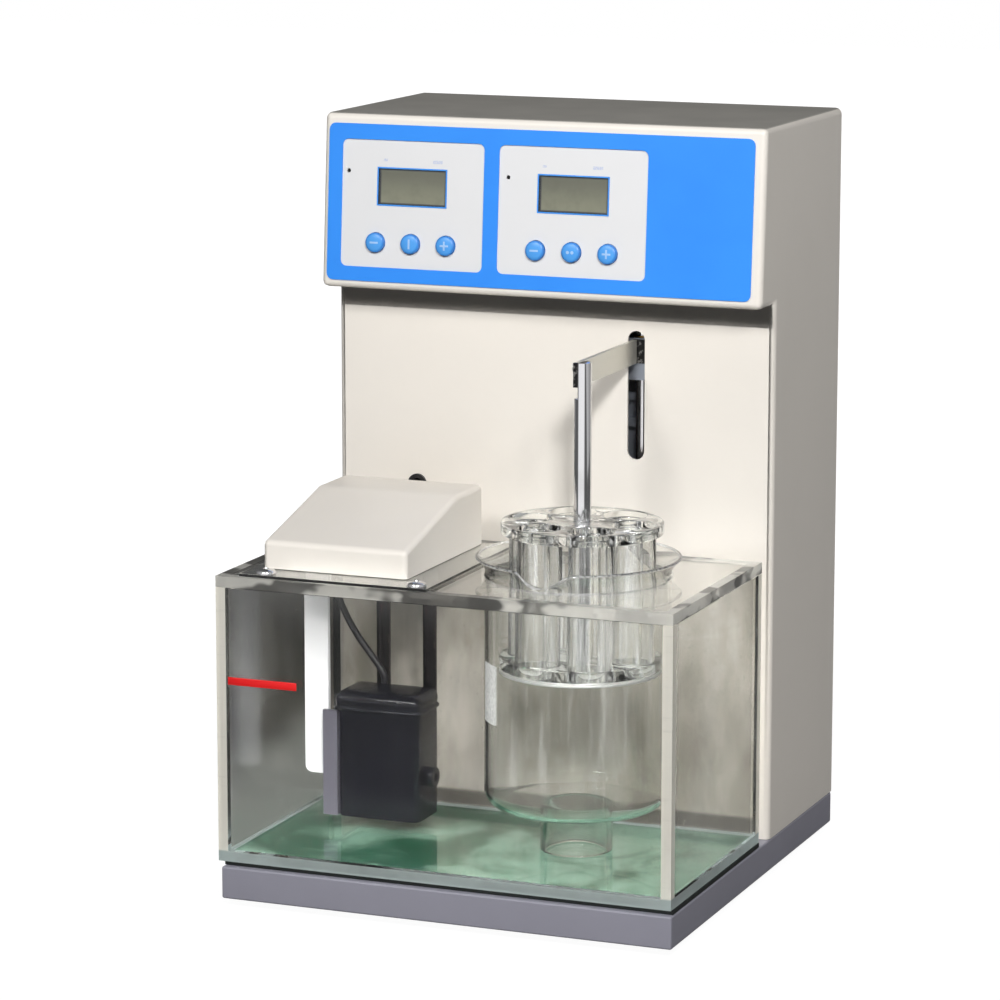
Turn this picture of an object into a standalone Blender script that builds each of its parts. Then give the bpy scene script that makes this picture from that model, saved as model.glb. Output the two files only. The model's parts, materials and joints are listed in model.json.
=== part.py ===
# Tablet disintegration tester: an ivory control head and column on a dark base, with a clear
# water tank, a beaker, a basket of six glass tubes on a lifting arm, and a heater and pump unit.
# Metres, +Z up, +X to the right as seen from the front, the front towards -Y.
# The origin is the middle of the footprint, on the surface that the feet stand on.

import math

import bmesh
import bpy
from mathutils import Matrix, Vector

# Fits that every piece shares
FIT = 0.0003             # gap left between pieces that touch
OVERRUN = 0.0020         # how far a cutter runs past the face it cuts
WELD = 0.00001           # points closer than this are one point
ROUND_SHARE = 0.5        # profile of an edge rounded to an arc

# Case: column and head in sheet metal
CASE_WIDTH = 0.2655
CASE_DEPTH = 0.2832
CASE_HEIGHT = 0.4305
SHEET = 0.0015
CASE_EDGE = 0.0035       # radius of the folded outer edges
TANK_BAY_SHARE = 0.582274  # of the depth: the base in front of the column
HEAD_HEIGHT = 0.0996
HEAD_OVERHANG = 0.0251
HEAD_LEAN_BACK = 0.0070  # the top of the face lies this much behind its foot
REAR_RECESS = 0.0060

# Base
FOOT_HEIGHT = 0.0050
FOOT_RADIUS = 0.0090
FOOT_TOE = 0.0078
FOOT_INSET = 0.0320
BASE_HEIGHT = 0.0184
BASE_WALL = 0.0020
BASE_EDGE = 0.0012
BOTTOM_SHEET = 0.0012
MAT_THICKNESS = 0.0024
MAT_SETBACK = 0.0040
MAT_INSET = 0.0005

# Tank and its cover, clear acrylic
TANK_OVERHANG = 0.0020   # how far the tank stands past the case on the left
TANK_INSET = 0.0008      # and how far inside it on the right
TANK_SETBACK = 0.0011
TANK_REAR_GAP = 0.0161   # between the tank and the column
TANK_HEIGHT = 0.1552
TANK_WALL = 0.0060
COVER_THICKNESS = 0.0062

# Lifting arm and the basket's axis
LIFT_FROM_MIDDLE = 0.0506   # the basket's axis, right of the case's middle
LIFT_BACK_SHARE = 0.32523   # of the beaker's room in the tank, behind the tank's middle
ARM_BELOW_HEAD = 0.0384     # underside of the arm below the head's, in the pose drawn
ARM_HEIGHT = 0.0135
ARM_THICKNESS = 0.0026
ARM_OFFSET = 0.0029         # middle of the arm left of the basket's axis
ARM_NOSE = 0.0042           # arm in front of the hanging pin
STROKE = 0.0550
RISE_LEFT = 0.0032          # part of the stroke still above the pose drawn
SLOT_WIDTH = 0.0102
SLOT_END_GAP = 0.0026       # the slot's ends beyond the arm's travel

# Guide and drive inside the column
GUIDE_SETBACK = 0.0171      # guide rod behind the column's front
GUIDE_RADIUS = 0.0040
GUIDE_LEFT = 0.0020         # guide rod left of the basket's axis
SLIDER_WIDTH = 0.0200
SLIDER_DEPTH = 0.0180
SLIDER_HEIGHT = 0.0240
SLIDER_BELOW_ARM = 0.0100
BUSH_WALL = 0.0014
BUSH_PROUD = 0.0006
YOKE_THICKNESS = 0.0030
YOKE_WIDTH = 0.0800
YOKE_BAR = 0.0200
YOKE_TAB = 0.0160
YOKE_DROP = 0.0200          # yoke slot's middle below the slider
PIN_RADIUS = 0.0030
ROLLER_RADIUS = 0.0050
ROLLER_LENGTH = 0.0024
ROLLER_GAP = 0.0007         # the open joint between yoke and roller
CRANK_RIM = 0.0065          # disc beyond the pin's circle
CRANK_THICKNESS = 0.0060
HUB_RADIUS = 0.0090
HUB_LENGTH = 0.0018
SHAFT_RADIUS = 0.0040
SHAFT_LENGTH = 0.0180
FRAME_THICKNESS = 0.0030
FRAME_WIDTH = 0.0720
FRAME_FOOT = 0.0290
FRAME_GAP = 0.0040          # frame behind the crank disc
FRAME_ABOVE_ARM = 0.0260
CLAMP_WIDTH = 0.0180
CLAMP_HEIGHT = 0.0100
CLAMP_REACH = 0.0070        # clamp in front of the guide rod's axis
CLAMP_GAP = 0.0085          # clamps beyond the slider's travel
ROD_END = 0.0020
GEARBOX_WIDTH = 0.0500
GEARBOX_DEPTH = 0.0240
MOTOR_RADIUS = 0.0240
MOTOR_CLEARANCE = 0.0127    # motor in front of the rear panel

# Basket
BASKET_BOTTOM = 0.1348      # above the standing surface, in the pose drawn
PLATE_RADIUS = 0.0450
PLATE_THICKNESS = 0.0060
BASKET_HEIGHT = 0.0830
TUBE_RADIUS = 0.0124
TUBE_WALL = 0.0017
TUBE_LENGTH = 0.0775
TUBE_CIRCLE = 0.0300
CLOTH_RADIUS = 0.0436
CLOTH_THICKNESS = 0.0006
CLOTH_PITCH = 0.0052
CLOTH_WIRE = 0.0014
CLOTH_EDGE = 0.0020
RETAINER_THICKNESS = 0.0012
RETAINER_HOLE = 0.0112
ROD_RADIUS = 0.0049
SPIGOT_RADIUS = 0.0030
COLLAR_RADIUS = 0.0080
COLLAR_HEIGHT = 0.0040
ROD_FLAT = 0.0013           # flat left of the rod's axis
ROD_FLAT_HEIGHT = 0.0200
HANG_PIN_RADIUS = 0.0015
HANG_PIN_HEAD = 0.0024
HANG_PIN_HEAD_LENGTH = 0.0010
HANG_PIN_ROOT = 0.0030      # pin inside the rod, past its axis
HANG_PIN_DROP = 0.0030      # pin below the arm's top edge

# Beaker and its stand
BEAKER_LEFT = 0.0020        # beaker's axis left of the basket's
BEAKER_RADIUS = 0.0514
BEAKER_HEIGHT = 0.1409
BEAKER_WALL = 0.0020
BEAKER_CORNER = 0.0100
BEAKER_LIP = 0.0055
BEAKER_LIP_HEIGHT = 0.0090
BEAKER_TO_BASKET = 0.0768   # beaker's bottom below the basket's
SPOUT_REACH = 0.0085
SPOUT_DIP = 0.0070
SPOUT_HALF_ANGLE = math.radians(19.0)
STAND_RADIUS = 0.0203
STAND_WALL = 0.0033
HOLE_GAP = 0.0009           # cover's hole round the beaker

# Heater and pump unit
HOUSING_SIDE_SHARE = 0.066102   # of the case's width, between its left side and the housing
HOUSING_WIDTH = 0.0862
HOUSING_FRONT = 0.0211      # behind the front of the base
HOUSING_DEPTH = 0.1100
HOUSING_NOSE = 0.0153       # height at the front
HOUSING_RISE = 0.0340
HOUSING_KNEE = 0.0730       # where the slope meets the flat top
HOUSING_WALL = 0.0020
HOUSING_EDGE = 0.0030
PLATE_SHEET = 0.0015
PLATE_LEFT = 0.0060         # mounting plate left of the housing
PLATE_TO_BEAKER = 0.0072
PLATE_FRONT = 0.0030        # behind the front of the base
PLATE_REAR = 0.0030         # behind the housing
HEATER_RADIUS = 0.0040
HEATER_SPAN = 0.0285        # between the two legs
HEATER_FROM_LEFT = 0.0637   # right leg right of the housing's left face
HEATER_SETBACK = 0.1085
HEATER_DEPTH = 0.1380       # bend below the mounting plate
SENSOR_WIDTH = 0.0145
SENSOR_THICKNESS = 0.0030
SENSOR_LENGTH = 0.1258
SENSOR_CORNER = 0.0040
SENSOR_INSET = 0.0010       # right of the housing's left face
SENSOR_SETBACK = 0.0765
PUMP_FROM_LEFT = 0.0232
PUMP_WIDTH = 0.0490
PUMP_FRONT = 0.0700
PUMP_DEPTH = 0.0320
PUMP_HEIGHT = 0.0610
PUMP_ABOVE_FLOOR = 0.0076
PUMP_CORNER = 0.0045
PUMP_WALL = 0.0030
PANEL_DEPTH = 0.0008
PANEL_RISE = 0.0253
PANEL_TOP = 0.0028
PANEL_WIDTH = 0.0318
PANEL_RIGHT = 0.0030
LID_HEIGHT = 0.0112
LID_PROUD = 0.0012
LID_PROUD_LEFT = 0.0033
LID_EDGE = 0.0045
GLAND_RADIUS = 0.0036
GLAND_HEIGHT = 0.0030
WELL_RADIUS = 0.0130
WELL_HEIGHT = 0.0280
WELL_SHIFT = 0.0040         # well's axis left of the pump's middle
NOZZLE_RADIUS = 0.0056
NOZZLE_BORE = 0.0027
NOZZLE_LENGTH = 0.0045
NOZZLE_RISE = 0.0235
IMPELLER_RADIUS = 0.0110
IMPELLER_RISE = 0.0100
IMPELLER_HEIGHT = 0.0100
IMPELLER_HUB = 0.0040
BLADE_THICKNESS = 0.0016
BLADE_BASE = 0.0014
AXLE_RADIUS = 0.0015
AXLE_LENGTH = 0.0060
BRACKET_SHEET = 0.0026
BRACKET_LIP = 0.0087
STRAP_THICKNESS = 0.0014
CABLE_RADIUS = 0.0019
CABLE_ENTRY_UP = 0.0040     # cable's end above the mounting plate
CABLE_FROM_LEFT = 0.0175    # its upper end right of the housing's left face
CABLE_GLAND = 0.0230        # gland right of the pump's left face
CABLE_SETBACK = 0.0140      # gland behind the pump's front

# Front panel, on the leaning face: across from the case's left side, and up from the face's foot
OVERLAY_THICKNESS = 0.0005
OVERLAY_LEFT_EDGE = 0.00355
OVERLAY_RIGHT_EDGE = 0.00635
OVERLAY_LOW = 0.0045
OVERLAY_HIGH = 0.0940
OVERLAY_CORNER = 0.0038
WINDOW_LOW = 0.0127
WINDOW_HIGH = 0.0852
WINDOW_CORNER = 0.0035
TIME_WINDOW = (0.01205, 0.09915)
HEAT_WINDOW = (0.10825, 0.19715)
TIME_FROM_SIDE = 0.0551
HEAT_FROM_SIDE = 0.15295
DISPLAY_WIDTH = 0.0416
DISPLAY_HEIGHT = 0.0206
DISPLAY_MIDDLE = 0.05885
DISPLAY_RECESS = 0.0012
LAMP_RADIUS = 0.0009
LAMP_HEIGHT = 0.0671
LAMP_LEFT = 0.0393          # lamp left of the display's middle
LAMP_DEPTH = 0.0004
BUTTON_RADIUS = 0.0056
BUTTON_PITCH = 0.02165
BUTTON_MIDDLE = 0.0268
BUTTON_RISE = 0.0020
BUTTON_CROWN = 0.0012
BUTTON_FLANGE = 0.0010
BUTTON_FLANGE_LENGTH = 0.0014
BUTTON_STEM = 0.0020
BUTTON_STEM_LENGTH = 0.0040
BUTTON_TRAVEL = 0.0008
BOARD_THICKNESS = 0.0016
BOARD_MARGIN = 0.0080
SWITCH_SIDE = 0.0060
SWITCH_HEIGHT = 0.0037
STANDOFF_RADIUS = 0.0030
STANDOFF_INSET = 0.0050

# Electrical pieces
SOCKET_FROM_SIDE = 0.04925  # right of the case's left side
SOCKET_RISE = 0.1922        # above the base
SOCKET_RADIUS = 0.0045
SOCKET_FLANGE = 0.0055
SOCKET_FLANGE_THICKNESS = 0.0018
SOCKET_BORE = 0.0032
SOCKET_LENGTH = 0.0150
SOCKET_BORE_DEPTH = 0.0100
CORE_WIDTH = 0.0600
CORE_DEPTH = 0.0440
CORE_HEIGHT = 0.0520
WINDING_WIDTH = 0.0400
WINDING_DEPTH = 0.0560
WINDING_HEIGHT = 0.0340
CORE_FROM_SIDE = 0.06275    # right of the case's left side
CORE_FROM_REAR = 0.0600
INLET_FROM_SIDE = 0.04775   # left of the case's right side
INLET_RISE = 0.0400
INLET_WIDTH = 0.0480
INLET_HEIGHT = 0.0240
INLET_FLANGE = 0.0025
INLET_BODY_WIDTH = 0.0270
INLET_BODY_HEIGHT = 0.0200
INLET_BODY_DEPTH = 0.0200
INLET_CAVITY_WIDTH = 0.0240
INLET_CAVITY_HEIGHT = 0.0160
INLET_CAVITY_DEPTH = 0.0160
ROCKER_RISE = 0.0800
ROCKER_WIDTH = 0.0134
ROCKER_HEIGHT = 0.0180
ROCKER_DEPTH = 0.0070
ROCKER_PROUD = 0.0010
ROCKER_TILT = math.radians(8.0)
BEZEL_WIDTH = 0.0210
BEZEL_HEIGHT = 0.0270
BEZEL_THICKNESS = 0.0025
BEZEL_BODY_WALL = 0.0012
BEZEL_BODY_DEPTH = 0.0160
ROCKER_SIDE_GAP = 0.0006
ROCKER_END_GAP = 0.0011
VENT_WIDTH = 0.0400
VENT_HEIGHT = 0.0030
VENT_PITCH = 0.0080
VENT_COUNT = 7
VENT_FROM_SIDE = 0.07275
VENT_RISE = 0.2300

# Levels and places that follow from the sizes above
CASE_X = TANK_OVERHANG / 2
FRONT_Y = -CASE_DEPTH / 2
REAR_Y = CASE_DEPTH / 2
CASE_LEFT = CASE_X - CASE_WIDTH / 2
CASE_RIGHT = CASE_X + CASE_WIDTH / 2
BASE_TOP = FOOT_HEIGHT + BASE_HEIGHT
COLUMN_Y = FRONT_Y + CASE_DEPTH * TANK_BAY_SHARE
HEAD_BOTTOM = CASE_HEIGHT - HEAD_HEIGHT
FACE_FOOT_Y = COLUMN_Y - HEAD_OVERHANG
FACE_TOP_Y = FACE_FOOT_Y + HEAD_LEAN_BACK
FACE_LEAN = math.atan2(HEAD_LEAN_BACK, HEAD_HEIGHT)
TIME_MIDDLE = TIME_FROM_SIDE - CASE_WIDTH / 2
HEAT_MIDDLE = HEAT_FROM_SIDE - CASE_WIDTH / 2
TANK_BOTTOM = BASE_TOP + FIT + MAT_THICKNESS + FIT
TANK_FLOOR = TANK_BOTTOM + TANK_WALL
TANK_RIM = TANK_BOTTOM + TANK_HEIGHT
COVER_BOTTOM = TANK_RIM + FIT
COVER_TOP = COVER_BOTTOM + COVER_THICKNESS
TANK_LEFT = CASE_LEFT - TANK_OVERHANG
TANK_RIGHT = CASE_RIGHT - TANK_INSET
TANK_Y = FRONT_Y + TANK_SETBACK
TANK_REAR_Y = COLUMN_Y - TANK_REAR_GAP
ROD_X = CASE_X + LIFT_FROM_MIDDLE
BEAKER_ROOM = (TANK_REAR_Y - TANK_Y) / 2 - TANK_WALL - BEAKER_RADIUS
ROD_Y = (TANK_Y + TANK_REAR_Y) / 2 + BEAKER_ROOM * LIFT_BACK_SHARE
ARM_X = ROD_X - ARM_OFFSET
ARM_BOTTOM = HEAD_BOTTOM - ARM_BELOW_HEAD
ARM_TOP = ARM_BOTTOM + ARM_HEIGHT
CRANK_RADIUS = STROKE / 2
DROP_LEFT = STROKE - RISE_LEFT
CRANK_ANGLE = math.acos((CRANK_RADIUS - RISE_LEFT) / CRANK_RADIUS)

PARTS = "tablet_disintegration_tester"
CUTTERS = "cutters"

# Colour, roughness and metallic value of each finish
FINISHES = {
    "ivory_paint": ((0.86, 0.84, 0.79), 0.45, 0.0),
    "base_paint": ((0.10, 0.10, 0.13), 0.50, 0.2),
    "clear_acrylic": ((0.85, 0.88, 0.84), 0.08, 0.0),
    "green_rubber": ((0.05, 0.30, 0.16), 0.80, 0.0),
    "black_rubber": ((0.02, 0.02, 0.02), 0.85, 0.0),
    "blue_film": ((0.02, 0.25, 0.85), 0.40, 0.0),
    "display_glass": ((0.17, 0.18, 0.12), 0.25, 0.0),
    "blue_button": ((0.03, 0.20, 0.75), 0.40, 0.0),
    "lamp": ((0.05, 0.05, 0.05), 0.30, 0.0),
    "circuit_board": ((0.03, 0.22, 0.10), 0.50, 0.0),
    "steel": ((0.62, 0.62, 0.62), 0.35, 1.0),
    "chrome": ((0.85, 0.85, 0.86), 0.12, 1.0),
    "bronze": ((0.60, 0.42, 0.20), 0.40, 1.0),
    "zinc_paint": ((0.45, 0.46, 0.48), 0.45, 0.6),
    "copper": ((0.60, 0.26, 0.12), 0.45, 0.4),
    "glass": ((0.85, 0.90, 0.90), 0.04, 0.0),
    "white_plastic": ((0.88, 0.88, 0.90), 0.40, 0.0),
    "black_plastic": ((0.03, 0.03, 0.04), 0.40, 0.0),
    "grey_plastic": ((0.20, 0.20, 0.23), 0.50, 0.0),
}


def clear_scene():
    for old in list(bpy.data.objects):
        bpy.data.objects.remove(old, do_unlink=True)


def collection(name):
    found = bpy.data.collections.get(name)
    if found is None:
        found = bpy.data.collections.new(name)
        bpy.context.scene.collection.children.link(found)
    return found


def finish(name):
    material = bpy.data.materials.get(name)
    if material is None:
        colour, roughness, metallic = FINISHES[name]
        material = bpy.data.materials.new(name)
        material.use_nodes = True
        shader = material.node_tree.nodes["Principled BSDF"]
        shader.inputs["Base Color"].default_value = (*colour, 1.0)
        shader.inputs["Roughness"].default_value = roughness
        shader.inputs["Metallic"].default_value = metallic
        material.diffuse_color = (*colour, 1.0)
    return material


def add(name, data, look=None):
    """Put mesh or curve data in the scene: a part with a finish, or a cutter without one."""
    obj = bpy.data.objects.new(name, data)
    if look is None:
        collection(CUTTERS).objects.link(obj)
        obj.hide_render = True
        obj.display_type = "WIRE"
    else:
        collection(PARTS).objects.link(obj)
        data.materials.append(finish(look))
    return obj


def empty(name, place):
    obj = bpy.data.objects.new(name, None)
    obj.location = place
    collection(PARTS).objects.link(obj)
    bpy.context.view_layer.update()
    return obj


def hang(obj, holder):
    """Make a piece follow an unturned holder without moving it."""
    obj.parent = holder
    obj.matrix_parent_inverse = Matrix.Translation(-holder.matrix_world.translation)
    return obj


def mesh_of(name, bm):
    mesh = bpy.data.meshes.new(name)
    bmesh.ops.recalc_face_normals(bm, faces=bm.faces)
    bm.to_mesh(mesh)
    bm.free()
    return mesh


def smooth(obj, angle=math.radians(35.0)):
    obj.data.shade_smooth()
    obj.data.set_sharp_from_angle(angle=angle)
    return obj


def put_box(bm, low, high):
    """A box between two corners, added to a mesh that is being built."""
    low, high = Vector(low), Vector(high)
    size = high - low
    place = Matrix.Translation((low + high) / 2) @ Matrix.Diagonal((*size, 1.0))
    return bmesh.ops.create_cube(bm, size=1.0, matrix=place)["verts"]


def put_cylinder(bm, centre, radius, length, axis="Z", sides=32, tip=None):
    """A cylinder or cone about its middle, along one of the axes."""
    turn = {"X": Matrix.Rotation(math.pi / 2, 4, "Y"),
            "Y": Matrix.Rotation(-math.pi / 2, 4, "X"),
            "Z": Matrix.Identity(4)}[axis]
    place = Matrix.Translation(centre) @ turn
    return bmesh.ops.create_cone(bm, cap_ends=True, segments=sides, radius1=radius,
                                 radius2=radius if tip is None else tip, depth=length,
                                 matrix=place)["verts"]


def round_edges(bm, radius, segments, wanted):
    edges = [edge for edge in bm.edges if wanted(*(v.co for v in edge.verts))]
    bmesh.ops.bevel(bm, geom=edges, offset=radius, offset_type="OFFSET", segments=segments,
                    profile=ROUND_SHARE, affect="EDGES", clamp_overlap=True)


def upright(a, b):
    return abs(a.x - b.x) < WELD and abs(a.y - b.y) < WELD


def box(name, low, high, look=None, edge=0.0, segments=2, wanted=None):
    """A box about its own middle, with some or all edges rounded."""
    low, high = Vector(low), Vector(high)
    middle = (low + high) / 2
    bm = bmesh.new()
    put_box(bm, low - middle, high - middle)
    if edge:
        round_edges(bm, edge, segments, wanted or (lambda a, b: True))
    obj = add(name, mesh_of(name, bm), look)
    obj.location = middle
    return obj


def cylinder(name, centre, radius, length, axis="Z", look=None, sides=32):
    bm = bmesh.new()
    put_cylinder(bm, (0, 0, 0), radius, length, axis, sides)
    obj = add(name, mesh_of(name, bm), look)
    obj.location = centre
    return smooth(obj)


def turned(name, profile, centre, look=None, sides=32, closed=False):
    """A turned shape: a half profile of (radius, height) points, top first, swept about Z."""
    mesh = bpy.data.meshes.new(name)
    points = [(radius, 0, height) for radius, height in profile]
    links = [(i, i + 1) for i in range(len(points) - 1) if profile[i][0] + profile[i + 1][0]]
    if closed:
        links.append((len(points) - 1, 0))
    mesh.from_pydata(points, links, [])
    obj = add(name, mesh, look)
    obj.location = centre
    screw = obj.modifiers.new("turn", "SCREW")
    screw.steps = screw.render_steps = sides
    screw.use_merge_vertices = True
    screw.merge_threshold = WELD
    screw.use_smooth_shade = False
    return obj


def ring(name, outer, inner, length, centre, look=None, sides=32):
    """A sleeve that starts at its centre's height and runs up."""
    profile = [(outer, length), (outer, 0), (inner, 0), (inner, length)]
    return turned(name, profile, centre, look, sides, closed=True)


def frozen(obj):
    """The same piece with its modifiers or its curve turned into a plain mesh."""
    bpy.context.view_layer.update()
    graph = bpy.context.evaluated_depsgraph_get()
    mesh = bpy.data.meshes.new_from_object(obj.evaluated_get(graph))
    bm = bmesh.new()
    bm.from_mesh(mesh)
    bmesh.ops.remove_doubles(bm, verts=bm.verts, dist=WELD)
    bmesh.ops.recalc_face_normals(bm, faces=bm.faces)
    bm.to_mesh(mesh)
    bm.free()
    name, place = obj.name, obj.matrix_world.copy()
    homes = list(obj.users_collection)
    was_cutter = obj.hide_render
    bpy.data.objects.remove(obj, do_unlink=True)
    new = bpy.data.objects.new(name, mesh)
    homes[0].objects.link(new)
    new.hide_render = was_cutter
    new.display_type = "WIRE" if was_cutter else "TEXTURED"
    new.matrix_world = place
    return new


def slab(name, outlines, thickness, look=None, turn=(0, 0, 0), place=(0, 0, 0)):
    """A flat outline with its holes, given a thickness about its plane."""
    curve = bpy.data.curves.new(name, "CURVE")
    curve.dimensions = "2D"
    curve.fill_mode = "BOTH"
    curve.extrude = thickness / 2
    for outline in outlines:
        spline = curve.splines.new("POLY")
        spline.points.add(len(outline) - 1)
        for point, (x, y) in zip(spline.points, outline):
            point.co = (x, y, 0, 1)
        spline.use_cyclic_u = True
    obj = add(name, curve, look)
    obj.rotation_euler = turn
    obj.location = place
    return frozen(obj)


# An outline drawn as (y, z) and given its thickness along X
SIDEWAYS = (math.pi / 2, 0, math.pi / 2)
# An outline drawn as (x, z) and given its thickness along Y
FACING = (math.pi / 2, 0, 0)


def circle(x, y, radius, sides):
    steps = [2 * math.pi * i / sides for i in range(sides)]
    return [(x + radius * math.cos(a), y + radius * math.sin(a)) for a in steps]


def rounded(x0, x1, y0, y1, radius, steps=4):
    """A rectangle with round corners, counter-clockwise from its right lower corner."""
    corners = ((x1 - radius, y0 + radius, -90), (x1 - radius, y1 - radius, 0),
               (x0 + radius, y1 - radius, 90), (x0 + radius, y0 + radius, 180))
    points = []
    for x, y, start in corners:
        for i in range(steps + 1):
            a = math.radians(start + 90 * i / steps)
            points.append((x + radius * math.cos(a), y + radius * math.sin(a)))
    return points


def combine(target, tool, operation):
    change = target.modifiers.new(operation.lower(), "BOOLEAN")
    change.operation = operation
    change.object = tool
    return target


def cut(target, tool):
    return combine(target, tool, "DIFFERENCE")


def join(target, tool):
    return combine(target, tool, "UNION")


def loose(name, build):
    """One cutter that holds several separate shapes."""
    bm = bmesh.new()
    build(bm)
    return add(name, mesh_of(name, bm))


# Base, feet and mat

def make_base():
    low = (CASE_LEFT, FRONT_Y, FOOT_HEIGHT)
    high = (CASE_RIGHT, REAR_Y, BASE_TOP)
    plinth = box("base_plinth", low, high, "base_paint", BASE_EDGE, 2)
    pocket = box("cut_base_pocket",
                 (CASE_LEFT + BASE_WALL, FRONT_Y + BASE_WALL, FOOT_HEIGHT - OVERRUN),
                 (CASE_RIGHT - BASE_WALL, REAR_Y - BASE_WALL, BASE_TOP - BASE_WALL))
    cut(plinth, pocket)
    inset = BASE_WALL + FIT
    box("bottom_cover", (CASE_LEFT + inset, FRONT_Y + inset, FOOT_HEIGHT),
        (CASE_RIGHT - inset, REAR_Y - inset, FOOT_HEIGHT + BOTTOM_SHEET), "steel")
    profile = [(0, FOOT_HEIGHT - FIT), (FOOT_RADIUS, FOOT_HEIGHT - FIT), (FOOT_TOE, 0), (0, 0)]
    for side, x in (("left", CASE_LEFT + FOOT_INSET), ("right", CASE_RIGHT - FOOT_INSET)):
        for end, y in (("front", FRONT_Y + FOOT_INSET), ("rear", REAR_Y - FOOT_INSET)):
            turned(f"foot_{end}_{side}", profile, (x, y, 0), "black_rubber", 24)
    box("tank_mat", (CASE_LEFT + MAT_INSET, FRONT_Y + MAT_SETBACK, BASE_TOP + FIT),
        (CASE_RIGHT - MAT_INSET, TANK_REAR_Y, BASE_TOP + FIT + MAT_THICKNESS), "green_rubber")


# Case, head and rear panel

def case_outline(inset):
    """The side view of column and head. Inset, it runs out at the rear and the bottom."""
    out = OVERRUN if inset else 0.0
    rear = REAR_Y + out
    bottom = BASE_TOP + FIT - out
    return [(rear, bottom), (COLUMN_Y + inset, bottom), (COLUMN_Y + inset, HEAD_BOTTOM + inset),
            (FACE_FOOT_Y + inset, HEAD_BOTTOM + inset), (FACE_TOP_Y + inset, CASE_HEIGHT - inset),
            (rear, CASE_HEIGHT - inset)]


def outer_edge(a, b):
    """Folded edges: not those round the open rear and foot, nor the inner corner of the head."""
    at_rear = a.x > REAR_Y - WELD and b.x > REAR_Y - WELD
    at_foot = a.y < BASE_TOP + FIT + WELD and b.y < BASE_TOP + FIT + WELD
    crease = all(abs(p.x - COLUMN_Y) < WELD and abs(p.y - HEAD_BOTTOM) < WELD for p in (a, b))
    return not (at_rear or at_foot or crease)


def face_openings(bm):
    """Openings in the leaning face, in its own plane: displays, lamps and buttons."""
    through = (SHEET + OVERRUN) * 2
    for middle in (TIME_MIDDLE, HEAT_MIDDLE):
        put_box(bm, (middle - DISPLAY_WIDTH / 2, DISPLAY_MIDDLE - DISPLAY_HEIGHT / 2, -through),
                (middle + DISPLAY_WIDTH / 2, DISPLAY_MIDDLE + DISPLAY_HEIGHT / 2, through))
        put_cylinder(bm, (middle - LAMP_LEFT, LAMP_HEIGHT, 0), LAMP_RADIUS + FIT, through * 2,
                     sides=16)
        for step in (-1, 0, 1):
            put_cylinder(bm, (middle + step * BUTTON_PITCH, BUTTON_MIDDLE, 0),
                         BUTTON_RADIUS + FIT, through * 2, sides=32)


def slot_outline():
    """The arm's slot: the arm's travel and a gap at each end, with round ends."""
    low = ARM_BOTTOM - DROP_LEFT - SLOT_END_GAP
    high = ARM_TOP + RISE_LEFT + SLOT_END_GAP
    return rounded(ROD_X - SLOT_WIDTH / 2, ROD_X + SLOT_WIDTH / 2, low, high,
                   SLOT_WIDTH / 2 - WELD, 6)


def make_case(face):
    shell = slab("case_shell", [case_outline(0.0)], CASE_WIDTH, "ivory_paint", SIDEWAYS,
                 (CASE_X, 0, 0))
    bm = bmesh.new()
    bm.from_mesh(shell.data)
    bmesh.ops.dissolve_limit(bm, angle_limit=math.radians(1.0), verts=bm.verts, edges=bm.edges)
    round_edges(bm, CASE_EDGE, 3, outer_edge)
    bm.to_mesh(shell.data)
    bm.free()
    cut(shell, slab("cut_case_inside", [case_outline(SHEET)], CASE_WIDTH - 2 * SHEET, None,
                    SIDEWAYS, (CASE_X, 0, 0)))
    openings = loose("cut_face_openings", face_openings)
    openings.parent = face
    cut(shell, openings)
    depth = (SHEET + OVERRUN) * 2
    cut(shell, slab("cut_arm_slot", [slot_outline()], depth, None, FACING, (0, COLUMN_Y, 0)))
    cut(shell, cylinder("cut_socket_hole", (CASE_LEFT + SOCKET_FROM_SIDE, COLUMN_Y,
                                            BASE_TOP + SOCKET_RISE),
                        SOCKET_RADIUS + FIT, depth, "Y"))
    return smooth(shell)


def make_rear_panel():
    outer = REAR_Y - REAR_RECESS
    side = SHEET + FIT
    panel = box("rear_panel", (CASE_LEFT + side, outer - SHEET, BASE_TOP + FIT),
                (CASE_RIGHT - side, outer, CASE_HEIGHT - side), "ivory_paint")

    def holes(bm):
        near, far = outer - SHEET - OVERRUN, outer + OVERRUN
        x, z = CASE_RIGHT - INLET_FROM_SIDE, BASE_TOP + INLET_RISE
        put_box(bm, (x - INLET_BODY_WIDTH / 2 - FIT, near, z - INLET_BODY_HEIGHT / 2 - FIT),
                (x + INLET_BODY_WIDTH / 2 + FIT, far, z + INLET_BODY_HEIGHT / 2 + FIT))
        z = BASE_TOP + ROCKER_RISE
        wide, tall = bezel_body()
        put_box(bm, (x - wide / 2 - FIT, near, z - tall / 2 - FIT),
                (x + wide / 2 + FIT, far, z + tall / 2 + FIT))
        for row in range(VENT_COUNT):
            z = BASE_TOP + VENT_RISE + row * VENT_PITCH
            for x in (CASE_LEFT + VENT_FROM_SIDE, CASE_RIGHT - VENT_FROM_SIDE):
                put_box(bm, (x - VENT_WIDTH / 2, near, z), (x + VENT_WIDTH / 2, far,
                                                            z + VENT_HEIGHT))

    return cut(panel, loose("cut_rear_panel", holes))


# Front panel: film, displays, lamps, buttons and the board behind them

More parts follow.
